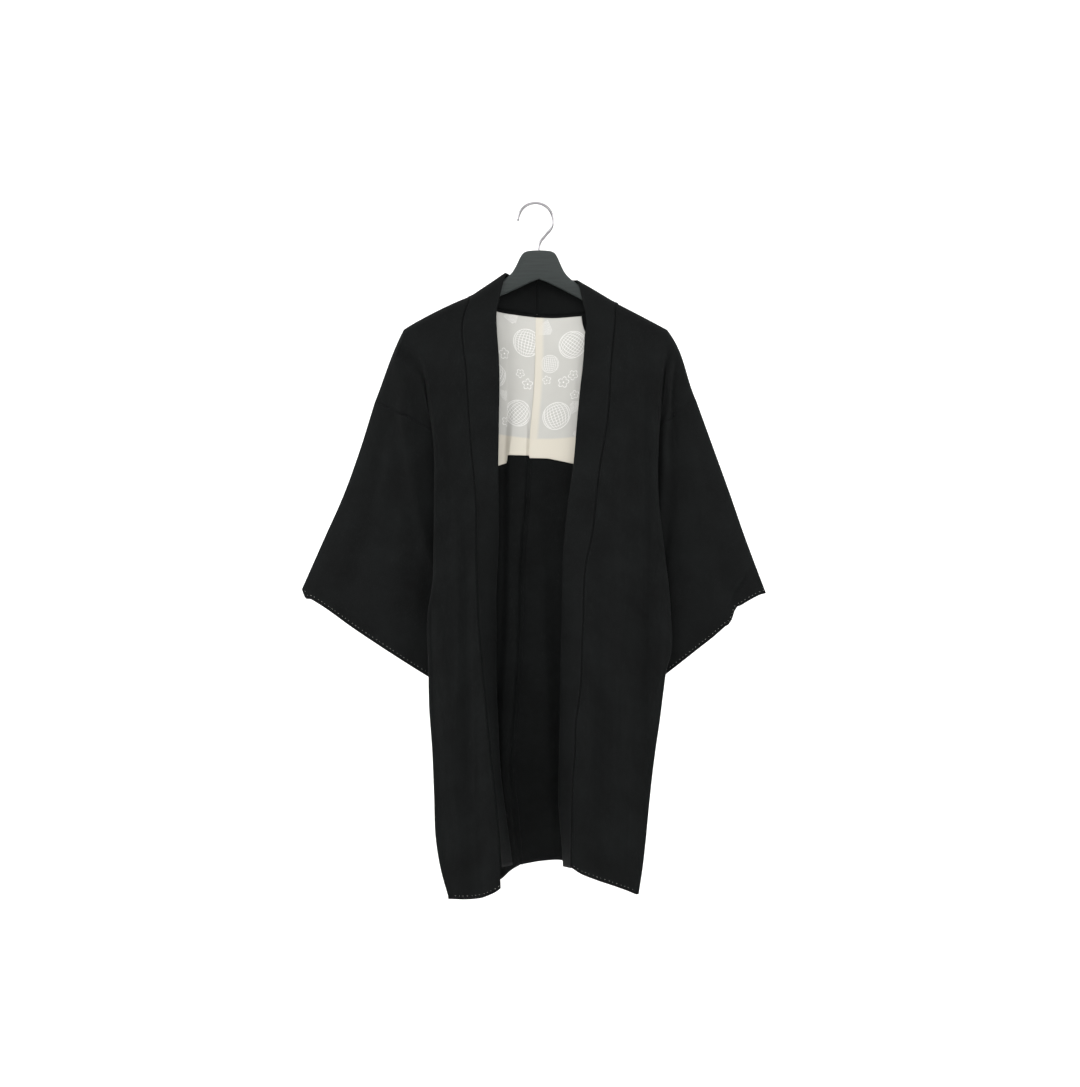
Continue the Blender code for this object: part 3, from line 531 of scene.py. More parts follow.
def cuff_crease(side, face, s, share):
    """The left cuff's front corner is bent back along a short crease."""
    if side.sign < 0 or face > 0 or s < 0.84:
        return 0.0
    path = 0.24 * ease(0.85, 0.95, s) + 0.02
    crease = -3.4 * math.exp(-((share - path) / 0.03) ** 2) * ease(0.84, 0.9, s)
    bent = -3.0 * (1 - ease(path - 0.04, path + 0.02, share)) * ease(0.86, 0.94, s)
    return crease + bent


def sleeve_place(side, s, angle, relief=1.0):
    """A point round a sleeve: angle 0 at its top fold, half a turn at its under fold, front first."""
    share = (1 - math.cos(angle)) / 2
    out = mix(read(side.sleeve, s, "top_out"), read(side.sleeve, s, "under_out"), share)
    down = mix(read(side.sleeve, s, "top_down"), read(side.sleeve, s, "under_down"), share)
    down += read(side.cuff, share, "drop") * s ** CUFF_SHARPNESS
    middle = mix(mix(-22, -16, s), mix(-11, -10, s), share)
    half_depth = mix(12, 15.5, s) * (1 - 0.25 * share)
    soft = 1.6 * math.sin(math.pi * s) * math.cos(share * 2.4 * math.pi)
    y = middle - (half_depth - soft) * math.sin(angle)
    face = -1 if math.sin(angle) >= 0 else 1
    edge_fade = min(1.0, 3 * abs(math.sin(angle)))
    return Place(side.sign * out, down, y + face * relief * edge_fade * sleeve_relief(side, face, s, share))


def armhole_place(side, face, share):
    """A point of the body's edge at the armhole seam, flush with the sleeve's own edge."""
    angle = math.acos(1 - 2 * min(max(share, 0.0), 1.0))
    place = sleeve_place(side, 0.0, -face * angle, 0.0)
    return Place(place.x - side.sign * 0.1, place.down - 0.1, place.y)


def shoulder_relief(side, face, share, t):
    """The sleeve's folds, carried on from the armhole seam up to the hanger's tip, and the valley inside."""
    total = 0.0
    for fold in side.sleeve_folds:
        if fold.face == face and fold.s_from < 0:
            along = -fold.s_from / (fold.s_to - fold.s_from)
            at_seam = mix(fold.share_from, fold.share_to, along)
            swell = ease(-0.1, 0.2, along)
            path = mix(FOLDS_START_T, ARMHOLE_T * at_seam, share ** 1.6)
            width = ARMHOLE_T * fold.half_width * mix(0.35, 1.0, share)
            total += fold.height * swell * ease(0.05, 0.5, share) * math.exp(-((t - path) / width) ** 2)
    valley = -EDGE_VALLEY * math.exp(-((share - 0.24) / 0.13) ** 2)
    total += valley * ease(0.004, 0.03, t)
    return total * (1 - ease(0.12, ARMHOLE_T, t))


def return_depth(t):
    """How far back from the panel's edge its turned-in strip ends."""
    return mix(8.5, 15, ease(0.3, 0.7, t))


def overhang_place(side, face, share, t):
    """The cloth past a panel's side fold: out to the armhole seam above, turned inward below."""
    edge = front_place(side, 1, t) if face < 0 else back_place(side, 1, t)
    seam = armhole_place(side, face, t / ARMHOLE_T)
    hem = side.front_hem if face < 0 else side.back_hem
    hem_rise = t * t * (hem[-1].down - read(hem, 1 - RETURN_SHARE, "down"))
    inward = Place(
        edge.x - side.sign * (RETURN_WIDTH - SIDE_FOLD_RADIUS),
        edge.down + UNDERARM_DROP * (1 - ease(0.12, 0.25, t)) - hem_rise,
        edge.y - face * return_depth(t),
    )
    end = mix_place(seam, inward, ease(0.12, ARMHOLE_T, t))
    hooked = ease(0.0, 0.07, t)
    bulge = side.sign * (1 - ease(0.0, 0.03, t))
    third = mix_place(edge, end, 1 / 3)
    straight_one = Place(third.x + bulge * side.tip_bulge.near, third.down, third.y)
    third = mix_place(edge, end, 2 / 3)
    straight_two = Place(third.x + bulge * side.tip_bulge.far, third.down, third.y)
    turn_one = Place(
        edge.x + side.sign * SIDE_FOLD_RADIUS * 2.4, mix(edge.down, end.down, 0.1), edge.y - face * 0.5,
    )
    tuck = 0.2 * mix(4, 12, ease(0.04, 0.2, t))
    turn_two = Place(edge.x - side.sign * tuck, mix(edge.down, end.down, 0.5), mix(edge.y, end.y, 1.1))
    one = mix_place(straight_one, turn_one, hooked)
    two = mix_place(straight_two, turn_two, hooked)
    place = bezier((edge, one, two, end), share)
    return Place(place.x, place.down, place.y + face * shoulder_relief(side, face, share, t))


def collar_row(side, f=None, t=None):
    """Seam and free edge of the band at a share f of the way round the nape, or at t down the front."""
    if t is None:
        out = side.neck_corner.out * f
        seam = Place(
            side.sign * out, read(side.neck, out, "down") - SEAM_GAP - 1.6 * f, read(side.neck, out, "y"),
        )
        free = Place(
            side.sign * read(side.nape, f, "out"), read(side.nape, f, "down"), read(side.nape, f, "y"),
        )
        return seam, free
    edge = front_place(side, 0, t)
    lift = 1.0 * (1 - ease(0, 0.02, t))
    seam = Place(edge.x - side.sign * 1.2, edge.down - lift, edge.y - 0.4 * ease(0, 0.008, t))
    free = Place(
        side.sign * read(side.free, t, "out"),
        edge.down - read(side.free, t, "rise"),
        edge.y + read(side.free, t, "inward"),
    )
    return seam, free


def add_node(tree, kind, inputs=None, **settings):
    """Add a node, set its settings, and set or link its inputs."""
    node = tree.nodes.new(kind)
    for name, value in settings.items():
        setattr(node, name, value)
    for name, value in (inputs or {}).items():
        if isinstance(value, bpy.types.NodeSocket):
            tree.links.new(value, node.inputs[name])
        else:
            node.inputs[name].default_value = value
    return node


def new_material(name, **fixed):
    """A material with a Principled shader whose fixed sockets are set."""
    material = bpy.data.materials.new(name)
    material.use_nodes = True
    shader = material.node_tree.nodes["Principled BSDF"]
    for socket, value in fixed.items():
        shader.inputs[socket.replace("_", " ")].default_value = value
    return material, material.node_tree, shader


def crepe_material(name, sizes):
    """Black silk crepe: tightly twisted weft gives a pebbled, nearly matt face with a faint sheen."""
    material, tree, shader = new_material(
        name, Roughness=0.8, Sheen_Weight=0.02, Sheen_Roughness=0.4, Specular_IOR_Level=0.07,
    )
    shader.inputs["Sheen Tint"].default_value = linear("#8D9394")
    cloth = add_node(tree, "ShaderNodeUVMap", uv_map="cloth").outputs["UV"]
    # Crepe pebbles, drawn a little coarser than real so that they show from a step away
    pebble = 1 / (sizes.crepe_grain * MILLIMETRE)
    squeezed = add_node(tree, "ShaderNodeMapping", {"Vector": cloth, "Scale": (pebble, pebble * 0.62, 1)})
    grain = add_node(
        tree, "ShaderNodeTexVoronoi", {"Vector": squeezed.outputs[0], "Scale": 1.0, "Randomness": 0.9},
        feature="SMOOTH_F1",
    ).outputs["Distance"]
    threads = add_node(
        tree, "ShaderNodeTexNoise", {"Vector": squeezed.outputs[0], "Scale": 2.6, "Detail": 3.0},
    ).outputs["Fac"]
    height = add_node(tree, "ShaderNodeMix", {"Factor": 0.4, "A": grain, "B": threads}).outputs["Result"]
    # Colour: broad random tone of the cloth, plus a quarter from the grain, which paints shade into the pebbles'
    # hollows (darker where the bump is low)
    broad = add_node(tree, "ShaderNodeTexNoise", {"Vector": cloth, "Scale": 14.0, "Detail": 4.0}).outputs["Fac"]
    shade = add_node(tree, "ShaderNodeMix", {"Factor": 0.25, "A": broad, "B": grain}).outputs["Result"]
    ramp = add_node(tree, "ShaderNodeValToRGB", {"Fac": shade})
    ramp.color_ramp.elements[0].position = 0.3
    ramp.color_ramp.elements[0].color = linear(sizes.crepe_dark)
    ramp.color_ramp.elements[1].position = 0.75
    ramp.color_ramp.elements[1].color = linear(sizes.crepe_light)
    tree.links.new(ramp.outputs["Color"], shader.inputs["Base Color"])
    bump = add_node(tree, "ShaderNodeBump", {"Height": height, "Strength": 0.5, "Distance": 0.0005})
    tree.links.new(bump.outputs["Normal"], shader.inputs["Normal"])
    return material


def thread_ball_group():
    """A ball wound with crossing threads: two sets of curved lines inside a ring of radius 1."""
    tree = bpy.data.node_groups.new("thread_ball", "ShaderNodeTree")
    tree.interface.new_socket("Vector", in_out="INPUT", socket_type="NodeSocketVector")
    tree.interface.new_socket("Mask", in_out="OUTPUT", socket_type="NodeSocketFloat")
    given = add_node(tree, "NodeGroupInput").outputs["Vector"]
    parts = add_node(tree, "ShaderNodeSeparateXYZ", {"Vector": given}).outputs
    radius = add_node(tree, "ShaderNodeVectorMath", {0: given}, operation="LENGTH").outputs["Value"]
    sets = []
    for first, second, count in (("X", "Y", 4.3), ("Y", "X", 4.9)):
        square = add_node(tree, "ShaderNodeMath", {0: parts[second], 1: parts[second]}, operation="MULTIPLY")
        left = add_node(tree, "ShaderNodeMath", {0: 1.02, 1: square.outputs[0]}, operation="SUBTRACT")
        root = add_node(tree, "ShaderNodeMath", {0: left.outputs[0], 1: 0.5}, operation="POWER")
        bent = add_node(tree, "ShaderNodeMath", {0: parts[first], 1: root.outputs[0]}, operation="DIVIDE")
        many = add_node(tree, "ShaderNodeMath", {0: bent.outputs[0], 1: count}, operation="MULTIPLY")
        wave = add_node(tree, "ShaderNodeMath", {0: many.outputs[0], 1: 0.5}, operation="PINGPONG")
        sets.append(add_node(
            tree, "ShaderNodeMapRange",
            {"Value": wave.outputs[0], "From Min": 0.38, "From Max": 0.47, "To Min": 0.0, "To Max": 1.0},
            interpolation_type="SMOOTHSTEP",
        ).outputs[0])
    lines = add_node(tree, "ShaderNodeMath", {0: sets[0], 1: sets[1]}, operation="MAXIMUM").outputs[0]
    inside = add_node(
        tree, "ShaderNodeMapRange",
        {"Value": radius, "From Min": 0.9, "From Max": 0.95, "To Min": 1.0, "To Max": 0.0},
        interpolation_type="SMOOTHSTEP",
    ).outputs[0]
    from_ring = add_node(tree, "ShaderNodeMath", {0: radius, 1: 0.95, 2: 0.016}, operation="COMPARE").outputs[0]
    wound = add_node(tree, "ShaderNodeMath", {0: lines, 1: inside}, operation="MULTIPLY").outputs[0]
    mask = add_node(tree, "ShaderNodeMath", {0: wound, 1: from_ring}, operation="MAXIMUM").outputs[0]
    add_node(tree, "NodeGroupOutput", {"Mask": mask})
    return tree


def blossom_group():
    """A five-petal plum blossom of about radius 1, with a bare ring round its heart."""
    tree = bpy.data.node_groups.new("plum_blossom", "ShaderNodeTree")
    tree.interface.new_socket("Vector", in_out="INPUT", socket_type="NodeSocketVector")
    tree.interface.new_socket("Mask", in_out="OUTPUT", socket_type="NodeSocketFloat")
    given = add_node(tree, "NodeGroupInput").outputs["Vector"]
    parts = add_node(tree, "ShaderNodeSeparateXYZ", {"Vector": given}).outputs
    radius = add_node(tree, "ShaderNodeVectorMath", {0: given}, operation="LENGTH").outputs["Value"]
    angle = add_node(tree, "ShaderNodeMath", {0: parts["Y"], 1: parts["X"]}, operation="ARCTAN2").outputs[0]
    half = add_node(tree, "ShaderNodeMath", {0: angle, 1: 2.5}, operation="MULTIPLY").outputs[0]
    wave = add_node(tree, "ShaderNodeMath", {0: half}, operation="COSINE").outputs[0]
    lobe = add_node(tree, "ShaderNodeMath", {0: wave}, operation="ABSOLUTE").outputs[0]
    edge = add_node(tree, "ShaderNodeMath", {0: lobe, 1: 0.42, 2: 0.55}, operation="MULTIPLY_ADD").outputs[0]
    petals = add_node(tree, "ShaderNodeMath", {0: radius, 1: edge, 2: 0.06}, operation="COMPARE").outputs[0]
    heart = add_node(tree, "ShaderNodeMath", {0: radius, 1: 0.14}, operation="LESS_THAN").outputs[0]
    mask = add_node(tree, "ShaderNodeMath", {0: petals, 1: heart}, operation="MAXIMUM")
    add_node(tree, "NodeGroupOutput", {"Mask": mask.outputs[0]})
    return tree


def fan_group():
    """A spray of fine lines that open like a fan from a point, one unit long."""
    tree = bpy.data.node_groups.new("thread_fan", "ShaderNodeTree")
    tree.interface.new_socket("Vector", in_out="INPUT", socket_type="NodeSocketVector")
    tree.interface.new_socket("Mask", in_out="OUTPUT", socket_type="NodeSocketFloat")
    given = add_node(tree, "NodeGroupInput").outputs["Vector"]
    parts = add_node(tree, "ShaderNodeSeparateXYZ", {"Vector": given}).outputs
    radius = add_node(tree, "ShaderNodeVectorMath", {0: given}, operation="LENGTH").outputs["Value"]
    angle = add_node(tree, "ShaderNodeMath", {0: parts["Y"], 1: parts["X"]}, operation="ARCTAN2").outputs[0]
    many = add_node(tree, "ShaderNodeMath", {0: angle, 1: 13.0}, operation="MULTIPLY").outputs[0]
    wave = add_node(tree, "ShaderNodeMath", {0: many, 1: 0.5}, operation="PINGPONG").outputs[0]
    lines = add_node(tree, "ShaderNodeMath", {0: wave, 1: 0.36}, operation="GREATER_THAN").outputs[0]
    spread = add_node(tree, "ShaderNodeMath", {0: angle, 1: 0.0, 2: 0.6}, operation="COMPARE").outputs[0]
    length = add_node(tree, "ShaderNodeMath", {0: radius, 1: 0.7, 2: 0.45}, operation="COMPARE").outputs[0]
    shown = add_node(tree, "ShaderNodeMath", {0: spread, 1: length}, operation="MULTIPLY").outputs[0]
    mask = add_node(tree, "ShaderNodeMath", {0: shown, 1: lines}, operation="MULTIPLY").outputs[0]
    add_node(tree, "NodeGroupOutput", {"Mask": mask})
    return tree


def satin_material(name, sizes, motifs):
    """Figured satin: a smooth pale ground with woven figures that catch the light."""
    material, tree, shader = new_material(
        name, Roughness=0.42, Sheen_Weight=0.15, Sheen_Roughness=0.3, Specular_IOR_Level=0.5,
    )
    cloth = add_node(tree, "ShaderNodeUVMap", uv_map="cloth").outputs["UV"]
    figures = 0.0
    for group, places in motifs:
        for motif in places:
            # Vector Transform by point mapping: moved to the motif, turned and scaled to unit radius
            size = motif.radius * MILLIMETRE
            placed = add_node(
                tree, "ShaderNodeMapping",
                {
                    "Vector": cloth,
                    "Location": (motif.u * MILLIMETRE, motif.v * MILLIMETRE, 0),
                    "Rotation": (0, 0, motif.turn),
                    "Scale": (size, size, 1),
                },
                vector_type="TEXTURE",
            ).outputs[0]
            mask = add_node(tree, "ShaderNodeGroup", {}, node_tree=group)
            tree.links.new(placed, mask.inputs["Vector"])
            figures = add_node(
                tree, "ShaderNodeMath", {0: figures, 1: mask.outputs["Mask"]}, operation="MAXIMUM",
            ).outputs[0]
    across = add_node(tree, "ShaderNodeSeparateXYZ", {"Vector": cloth}).outputs
    strip = add_node(
        tree, "ShaderNodeMapRange",
        {
            "Value": across["X"],
            "From Min": LINING_SEAM_STRIP * MILLIMETRE,
            "From Max": (LINING_SEAM_STRIP + 5) * MILLIMETRE,
            "To Min": 0.85 if "left" in name else 0.0,
            "To Max": 0.0,
        },
    ).outputs[0]
    band = add_node(
        tree, "ShaderNodeMapRange",
        {
            "Value": across["Y"],
            "From Min": LINING_HEM_BAND * MILLIMETRE,
            "From Max": (LINING_HEM_BAND + 3) * MILLIMETRE,
            "To Min": 1.0,
            "To Max": 0.0,
        },
    ).outputs[0]
    doubled = add_node(tree, "ShaderNodeMath", {0: strip, 1: band}, operation="MAXIMUM").outputs[0]
    broad = add_node(tree, "ShaderNodeTexNoise", {"Vector": cloth, "Scale": 22.0, "Detail": 3.0}).outputs["Fac"]
    ground = add_node(
        tree, "ShaderNodeMix", {"Factor": broad, "A": linear(sizes.satin_grey), "B": linear(sizes.satin_pale)},
        data_type="RGBA",
    ).outputs["Result"]
    cream = add_node(
        tree, "ShaderNodeMix", {"Factor": doubled, "A": ground, "B": linear(sizes.satin_cream)}, data_type="RGBA",
    ).outputs["Result"]
    veiled = add_node(tree, "ShaderNodeMath", {0: doubled, 1: -0.75, 2: 0.85}, operation="MULTIPLY_ADD").outputs[0]
    shown = add_node(tree, "ShaderNodeMath", {0: figures, 1: veiled}, operation="MULTIPLY").outputs[0]
    colour = add_node(
        tree, "ShaderNodeMix", {"Factor": shown, "A": cream, "B": linear(sizes.satin_figure)}, data_type="RGBA",
    ).outputs["Result"]
    tree.links.new(colour, shader.inputs["Base Color"])
    # Satin threads 0.35 mm apart, drawn as coarse as they need to show
    spaced = add_node(
        tree, "ShaderNodeMapping", {"Vector": cloth, "Scale": (1 / (0.7 * MILLIMETRE), 1 / (4 * MILLIMETRE), 1)},
    ).outputs[0]
    threads = add_node(tree, "ShaderNodeTexNoise", {"Vector": spaced, "Scale": 1.0, "Detail": 2.0}).outputs["Fac"]
    height = add_node(tree, "ShaderNodeMath", {0: shown, 1: threads}, operation="ADD").outputs[0]
    bump = add_node(tree, "ShaderNodeBump", {"Height": height, "Strength": 0.2, "Distance": 0.0003})
    tree.links.new(bump.outputs["Normal"], shader.inputs["Normal"])
    return material


def lacquer_material(sizes):
    """Charcoal lacquer on beech: flat and slightly green-grey, with the wood's grain just telling through."""
    material, tree, shader = new_material("charcoal_lacquered_beech", Roughness=0.5, Specular_IOR_Level=0.3)
    place = add_node(tree, "ShaderNodeTexCoord").outputs["Object"]
    # Grain lines about 3 mm apart that run along the arms
    grained = add_node(tree, "ShaderNodeMapping", {"Vector": place, "Scale": (22, 300, 330)}).outputs[0]
    grain = add_node(tree, "ShaderNodeTexNoise", {"Vector": grained, "Scale": 1.0, "Detail": 4.0}).outputs["Fac"]
    ramp = add_node(tree, "ShaderNodeValToRGB", {"Fac": grain})
    ramp.color_ramp.elements[0].position = 0.3
    ramp.color_ramp.elements[0].color = linear(sizes.lacquer_dark)
    ramp.color_ramp.elements[1].position = 0.72
    ramp.color_ramp.elements[1].color = linear(sizes.lacquer_light)
    tree.links.new(ramp.outputs["Color"], shader.inputs["Base Color"])
    bump = add_node(tree, "ShaderNodeBump", {"Height": grain, "Strength": 0.08, "Distance": 0.0003})
    tree.links.new(bump.outputs["Normal"], shader.inputs["Normal"])
    return material


def chrome_material():
    """Chromed steel wire: bright, with faint draw lines along the wire."""
    material, tree, shader = new_material("chromed_wire", Metallic=1.0)
    shader.inputs["Base Color"].default_value = linear("#8E8D8F")
    place = add_node(tree, "ShaderNodeTexCoord").outputs["Object"]
    drawn = add_node(tree, "ShaderNodeTexNoise", {"Vector": place, "Scale": 900.0, "Detail": 2.0}).outputs["Fac"]
    rough = add_node(
        tree, "ShaderNodeMapRange", {"Value": drawn, "To Min": 0.14, "To Max": 0.26},
    ).outputs[0]
    tree.links.new(rough, shader.inputs["Roughness"])
    return material


def thread_material(sizes):
    """White cotton basting thread: matt and slightly fuzzy, and twisted, with painted shade in the grooves between
    its plies.
    """
    material, tree, shader = new_material("cotton_basting_thread", Roughness=0.9, Sheen_Weight=0.2)
    place = add_node(tree, "ShaderNodeTexCoord").outputs["Object"]
    # Darker diagonal bands: painted shade in the grooves between the plies
    twist_groove_shade = add_node(
        tree, "ShaderNodeTexWave", {"Vector": place, "Scale": 320.0, "Distortion": 1.0}, bands_direction="DIAGONAL",
    ).outputs["Fac"]
    colour = add_node(
        tree, "ShaderNodeMix", {"Factor": twist_groove_shade, "A": linear("#757470"), "B": linear(sizes.thread_white)},
        data_type="RGBA",
    ).outputs["Result"]
    tree.links.new(colour, shader.inputs["Base Color"])
    return material


def stage_material():
    """Plain pale paint for the floor and the wall behind."""
    material, tree, shader = new_material("pale_studio_paint", Roughness=0.95, Specular_IOR_Level=0.1)
    place = add_node(tree, "ShaderNodeTexCoord").outputs["Object"]
    soft = add_node(tree, "ShaderNodeTexNoise", {"Vector": place, "Scale": 0.8, "Detail": 1.0}).outputs["Fac"]
    colour = add_node(
        tree, "ShaderNodeMix", {"Factor": soft, "A": linear("#F6F6F5"), "B": linear("#FAFAFA")}, data_type="RGBA",
    ).outputs["Result"]
    tree.links.new(colour, shader.inputs["Base Color"])
    return material


def add_grid(bm, rows):
    """Add a grid, move its points to the rows of places, and lay its cloth coordinates in metres."""
    columns = len(rows[0])
    before = len(bm.verts)
    made = bmesh.ops.create_grid(bm, x_segments=columns - 1, y_segments=len(rows) - 1, size=1.0)
    bm.verts.ensure_lookup_table()
    points = np.array([[tuple(real_place(place)) for place in row] for row in rows])
    across = np.zeros(points.shape[:2])
    along = np.zeros(points.shape[:2])
    across[:, 1:] = np.cumsum(np.linalg.norm(np.diff(points, axis=1), axis=2), axis=1)
    along[1:, :] = np.cumsum(np.linalg.norm(np.diff(points, axis=0), axis=2), axis=0)
    layer = bm.loops.layers.uv.verify()
    faces = set()
    for r in range(len(rows)):
        for c in range(columns):
            vert = bm.verts[before + r * columns + c]
            vert.co = points[r, c]
            faces.update(vert.link_faces)
            for loop in vert.link_loops:
                loop[layer].uv = (across[r, c], along[r, c])
    return made


def finish_piece(bm, name, materials, wall, merge=0.00002, uv_name="cloth"):
    """Merge a mesh's seams, give it its wall and material, and let it ride with the body."""
    bmesh.ops.remove_doubles(bm, verts=bm.verts, dist=merge)
    bmesh.ops.recalc_face_normals(bm, faces=bm.faces)
    mesh = bpy.data.meshes.new(name)
    bm.to_mesh(mesh)
    bm.free()
    mesh.shade_smooth()
    if mesh.uv_layers:
        mesh.uv_layers[0].name = uv_name
    piece = bpy.data.objects.new(name, mesh)
    bpy.context.scene.collection.objects.link(piece)
    for material in materials:
        mesh.materials.append(material)
    if wall:
        thick = piece.modifiers.new("cloth wall", "SOLIDIFY")
        thick.thickness = wall * MILLIMETRE
        thick.offset = 0.0
    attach(piece, BODY)
    return piece


def steps(count):
    """Even shares from 0 to 1."""
    return [k / count for k in range(count + 1)]


def shoulder_to_hem(count):
    """Rows from the shoulder line to the hem, close together where the cloth turns over the arm."""
    near = [0.0, 0.0005, 0.0012, 0.0022, 0.0036, 0.0053, 0.0073, 0.0098, 0.013, 0.017, 0.022]
    return near + [mix(0.022, 1.0, (k + 1) / count) for k in range(count)]


class HaoriSizes(bpy.types.PropertyGroup):
    """Sizes and colours that a user would change."""
    cloth_wall: bpy.props.FloatProperty(
        name="Cloth wall", description="Thickness of the black crepe, in mm", default=1.1,
    )
    crepe_grain: bpy.props.FloatProperty(
        name="Crepe grain", description="Spacing of the crepe's pebbles, in mm", default=1.1,
    )
    # Crepe dark and light: the cloth's own tone, and through the grain also painted shade in the pebbles' hollows and
    # painted light on their tops
    crepe_dark: bpy.props.StringProperty(
        name="Crepe dark", description="Colour in the crepe's hollows", default="#0B0C0C",
    )
    crepe_light: bpy.props.StringProperty(
        name="Crepe light", description="Colour on the crepe's pebbles", default="#131515",
    )
    satin_grey: bpy.props.StringProperty(
        name="Satin shade", description="Darker tone of the satin ground", default="#B4B3AE",
    )
    satin_pale: bpy.props.StringProperty(
        name="Satin ground", description="Lighter tone of the satin ground", default="#C3C2BC",
    )
    satin_cream: bpy.props.StringProperty(
        name="Satin cream", description="Where the satin lies double", default="#CFC9BB",
    )
    satin_figure: bpy.props.StringProperty(
        name="Satin figures", description="Woven figures of the satin", default="#F0EFEC",
    )
    lacquer_dark: bpy.props.StringProperty(
        name="Lacquer dark", description="Darker tone of the hanger", default="#1F2423",
    )
    lacquer_light: bpy.props.StringProperty(
        name="Lacquer light", description="Lighter tone of the hanger", default="#272D2C",
    )
    thread_white: bpy.props.StringProperty(
        name="Basting thread", description="Colour of the basting", default="#96958F",
    )
    stitch_pitch: bpy.props.FloatProperty(
        name="Basting pitch", description="Distance between stitches, in mm", default=6.6,
    )


class HAORI_OT_body(bpy.types.Operator):
    """Build the two halves of the body, each one length from front hem to back hem"""
    bl_idname = "haori.body"
    bl_label = "Body"

    def execute(self, context):
        sizes = context.scene.haori_sizes
        fine = 1.0
        rows = shoulder_to_hem(int(150 * fine))
        for side in SIDES:
            corner = neck_share(side)
            panel = steps(int(48 * fine))
            overhang = steps(int(20 * fine))[1:]
            neck = [corner * (1 - (1 - k) ** 1.5) for k in steps(int(44 * fine))[:-1]]
            shoulder = [mix(corner, 1, across) for across in panel]
            front = []
            back = []
            for t in rows:
                row = [front_place(side, across, t) for across in panel]
                row += [overhang_place(side, -1, share, t) for share in overhang]
                front.append(row)
                row = [back_place(side, across, t) for across in neck + shoulder]
                row[0] = Place(row[0].x + side.sign * 0.15, row[0].down, row[0].y)
                if side.sign < 0:
                    tucked = Place(row[0].x + 4.0, row[0].down, row[0].y - 1.4)
                    row = [tucked] + row
                row += [overhang_place(side, 1, share, t) for share in overhang]
                back.append(row)
            shared = len(back[0]) - len(front[0])
            for column in range(len(front[0])):
                back[0][shared + column] = front[0][column]
            bm = bmesh.new()
            add_grid(bm, front)
            add_grid(bm, back)
            name = "body_" + side.name
            material = crepe_material("black_silk_crepe_body_" + side.name, sizes)
            piece = finish_piece(bm, "cloth_" + name, [material], sizes.cloth_wall)
            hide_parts(name)
        return {"FINISHED"}


class HAORI_OT_sleeves(bpy.types.Operator):
    """Build the two sleeves, each a flat tube that hangs from its armhole"""
    bl_idname = "haori.sleeves"
    bl_label = "Sleeves"

    def execute(self, context):
        sizes = context.scene.haori_sizes
        fine = 1.0
        around = int(112 * fine)
        for side in SIDES:
            rows = []
            tucked = []
            for n in range(around + 1):
                angle = 2 * math.pi * n / around
                place = sleeve_place(side, 0.0, angle)
                at_fold = (1 + math.cos(angle)) / 2
                tucked.append(Place(
                    place.x - side.sign * (1.2 + 1.6 * at_fold),
                    place.down - 3.8 + 0.5 * at_fold,
                    place.y + 1.5 * math.sin(angle),
                ))
            rows.append(tucked)
            for s in steps(int(96 * fine)):
                rows.append([sleeve_place(side, s, 2 * math.pi * n / around) for n in range(around + 1)])
            bm = bmesh.new()
            add_grid(bm, rows)
            name = "sleeve_" + side.name
            material = crepe_material("black_silk_crepe_sleeve_" + side.name, sizes)
            piece = finish_piece(bm, "cloth_" + name, [material], sizes.cloth_wall)
            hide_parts(name)
        return {"FINISHED"}


class HAORI_OT_gussets(bpy.types.Operator):
    """Build the narrow gussets between front and back below the sleeves"""
    bl_idname = "haori.gussets"
    bl_label = "Side gussets"

    def execute(self, context):
        sizes = context.scene.haori_sizes
        for side in SIDES:
            rows = []
            for k in steps(60):
                t = mix(0.68, 1.0, k)
                front = overhang_place(side, -1, 1.0, t)
                back = overhang_place(side, 1, 1.0, t)
                row = [Place(front.x + side.sign * 3.0, front.down, front.y + 1.6)]
                for share in steps(14):
                    place = mix_place(front, back, share)
                    bow = 1.2 + 3.2 * math.sin(math.pi * share) + 0.5 * math.sin(9 * share + 14 * k)
                    row.append(Place(place.x - side.sign * bow, place.down, place.y + 1.0 * (1 - 2 * share)))
                row.append(Place(back.x + side.sign * 3.0, back.down, back.y - 1.6))
                rows.append(row)
            bm = bmesh.new()
            add_grid(bm, rows)
            name = "gusset_" + side.name
            material = crepe_material("black_silk_crepe_gusset_" + side.name, sizes)
            piece = finish_piece(bm, "cloth_" + name, [material], sizes.cloth_wall)
            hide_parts(name)
        return {"FINISHED"}


# Rows of the collar round the nape, before it turns down the fronts
NAPE_ROWS = 26

# Half the thickness of the doubled band
BAND_HALF = 1.35

# The band's seam allowance: how far behind the panel, how deep, and half its thickness
SEAM_ALLOWANCE = ((5.0, 2.2, 0.25), (3.0, 2.0, 0.3), (1.2, 1.7, 0.4), (0.0, 1.3, 0.6))

# The band's faces across its width: share, lift and half thickness
BAND_PROFILE = (
    (0.03, 0.0, 1.0), (0.06, 0.35, 1.25), (0.12, 0.55, 1.35), (0.2, 0.45, 1.35), (0.35, 0.25, 1.35),
    (0.5, 0.1, 1.35), (0.65, 0.0, 1.35), (0.8, 0.0, 1.35), (0.92, 0.0, 1.35),
)


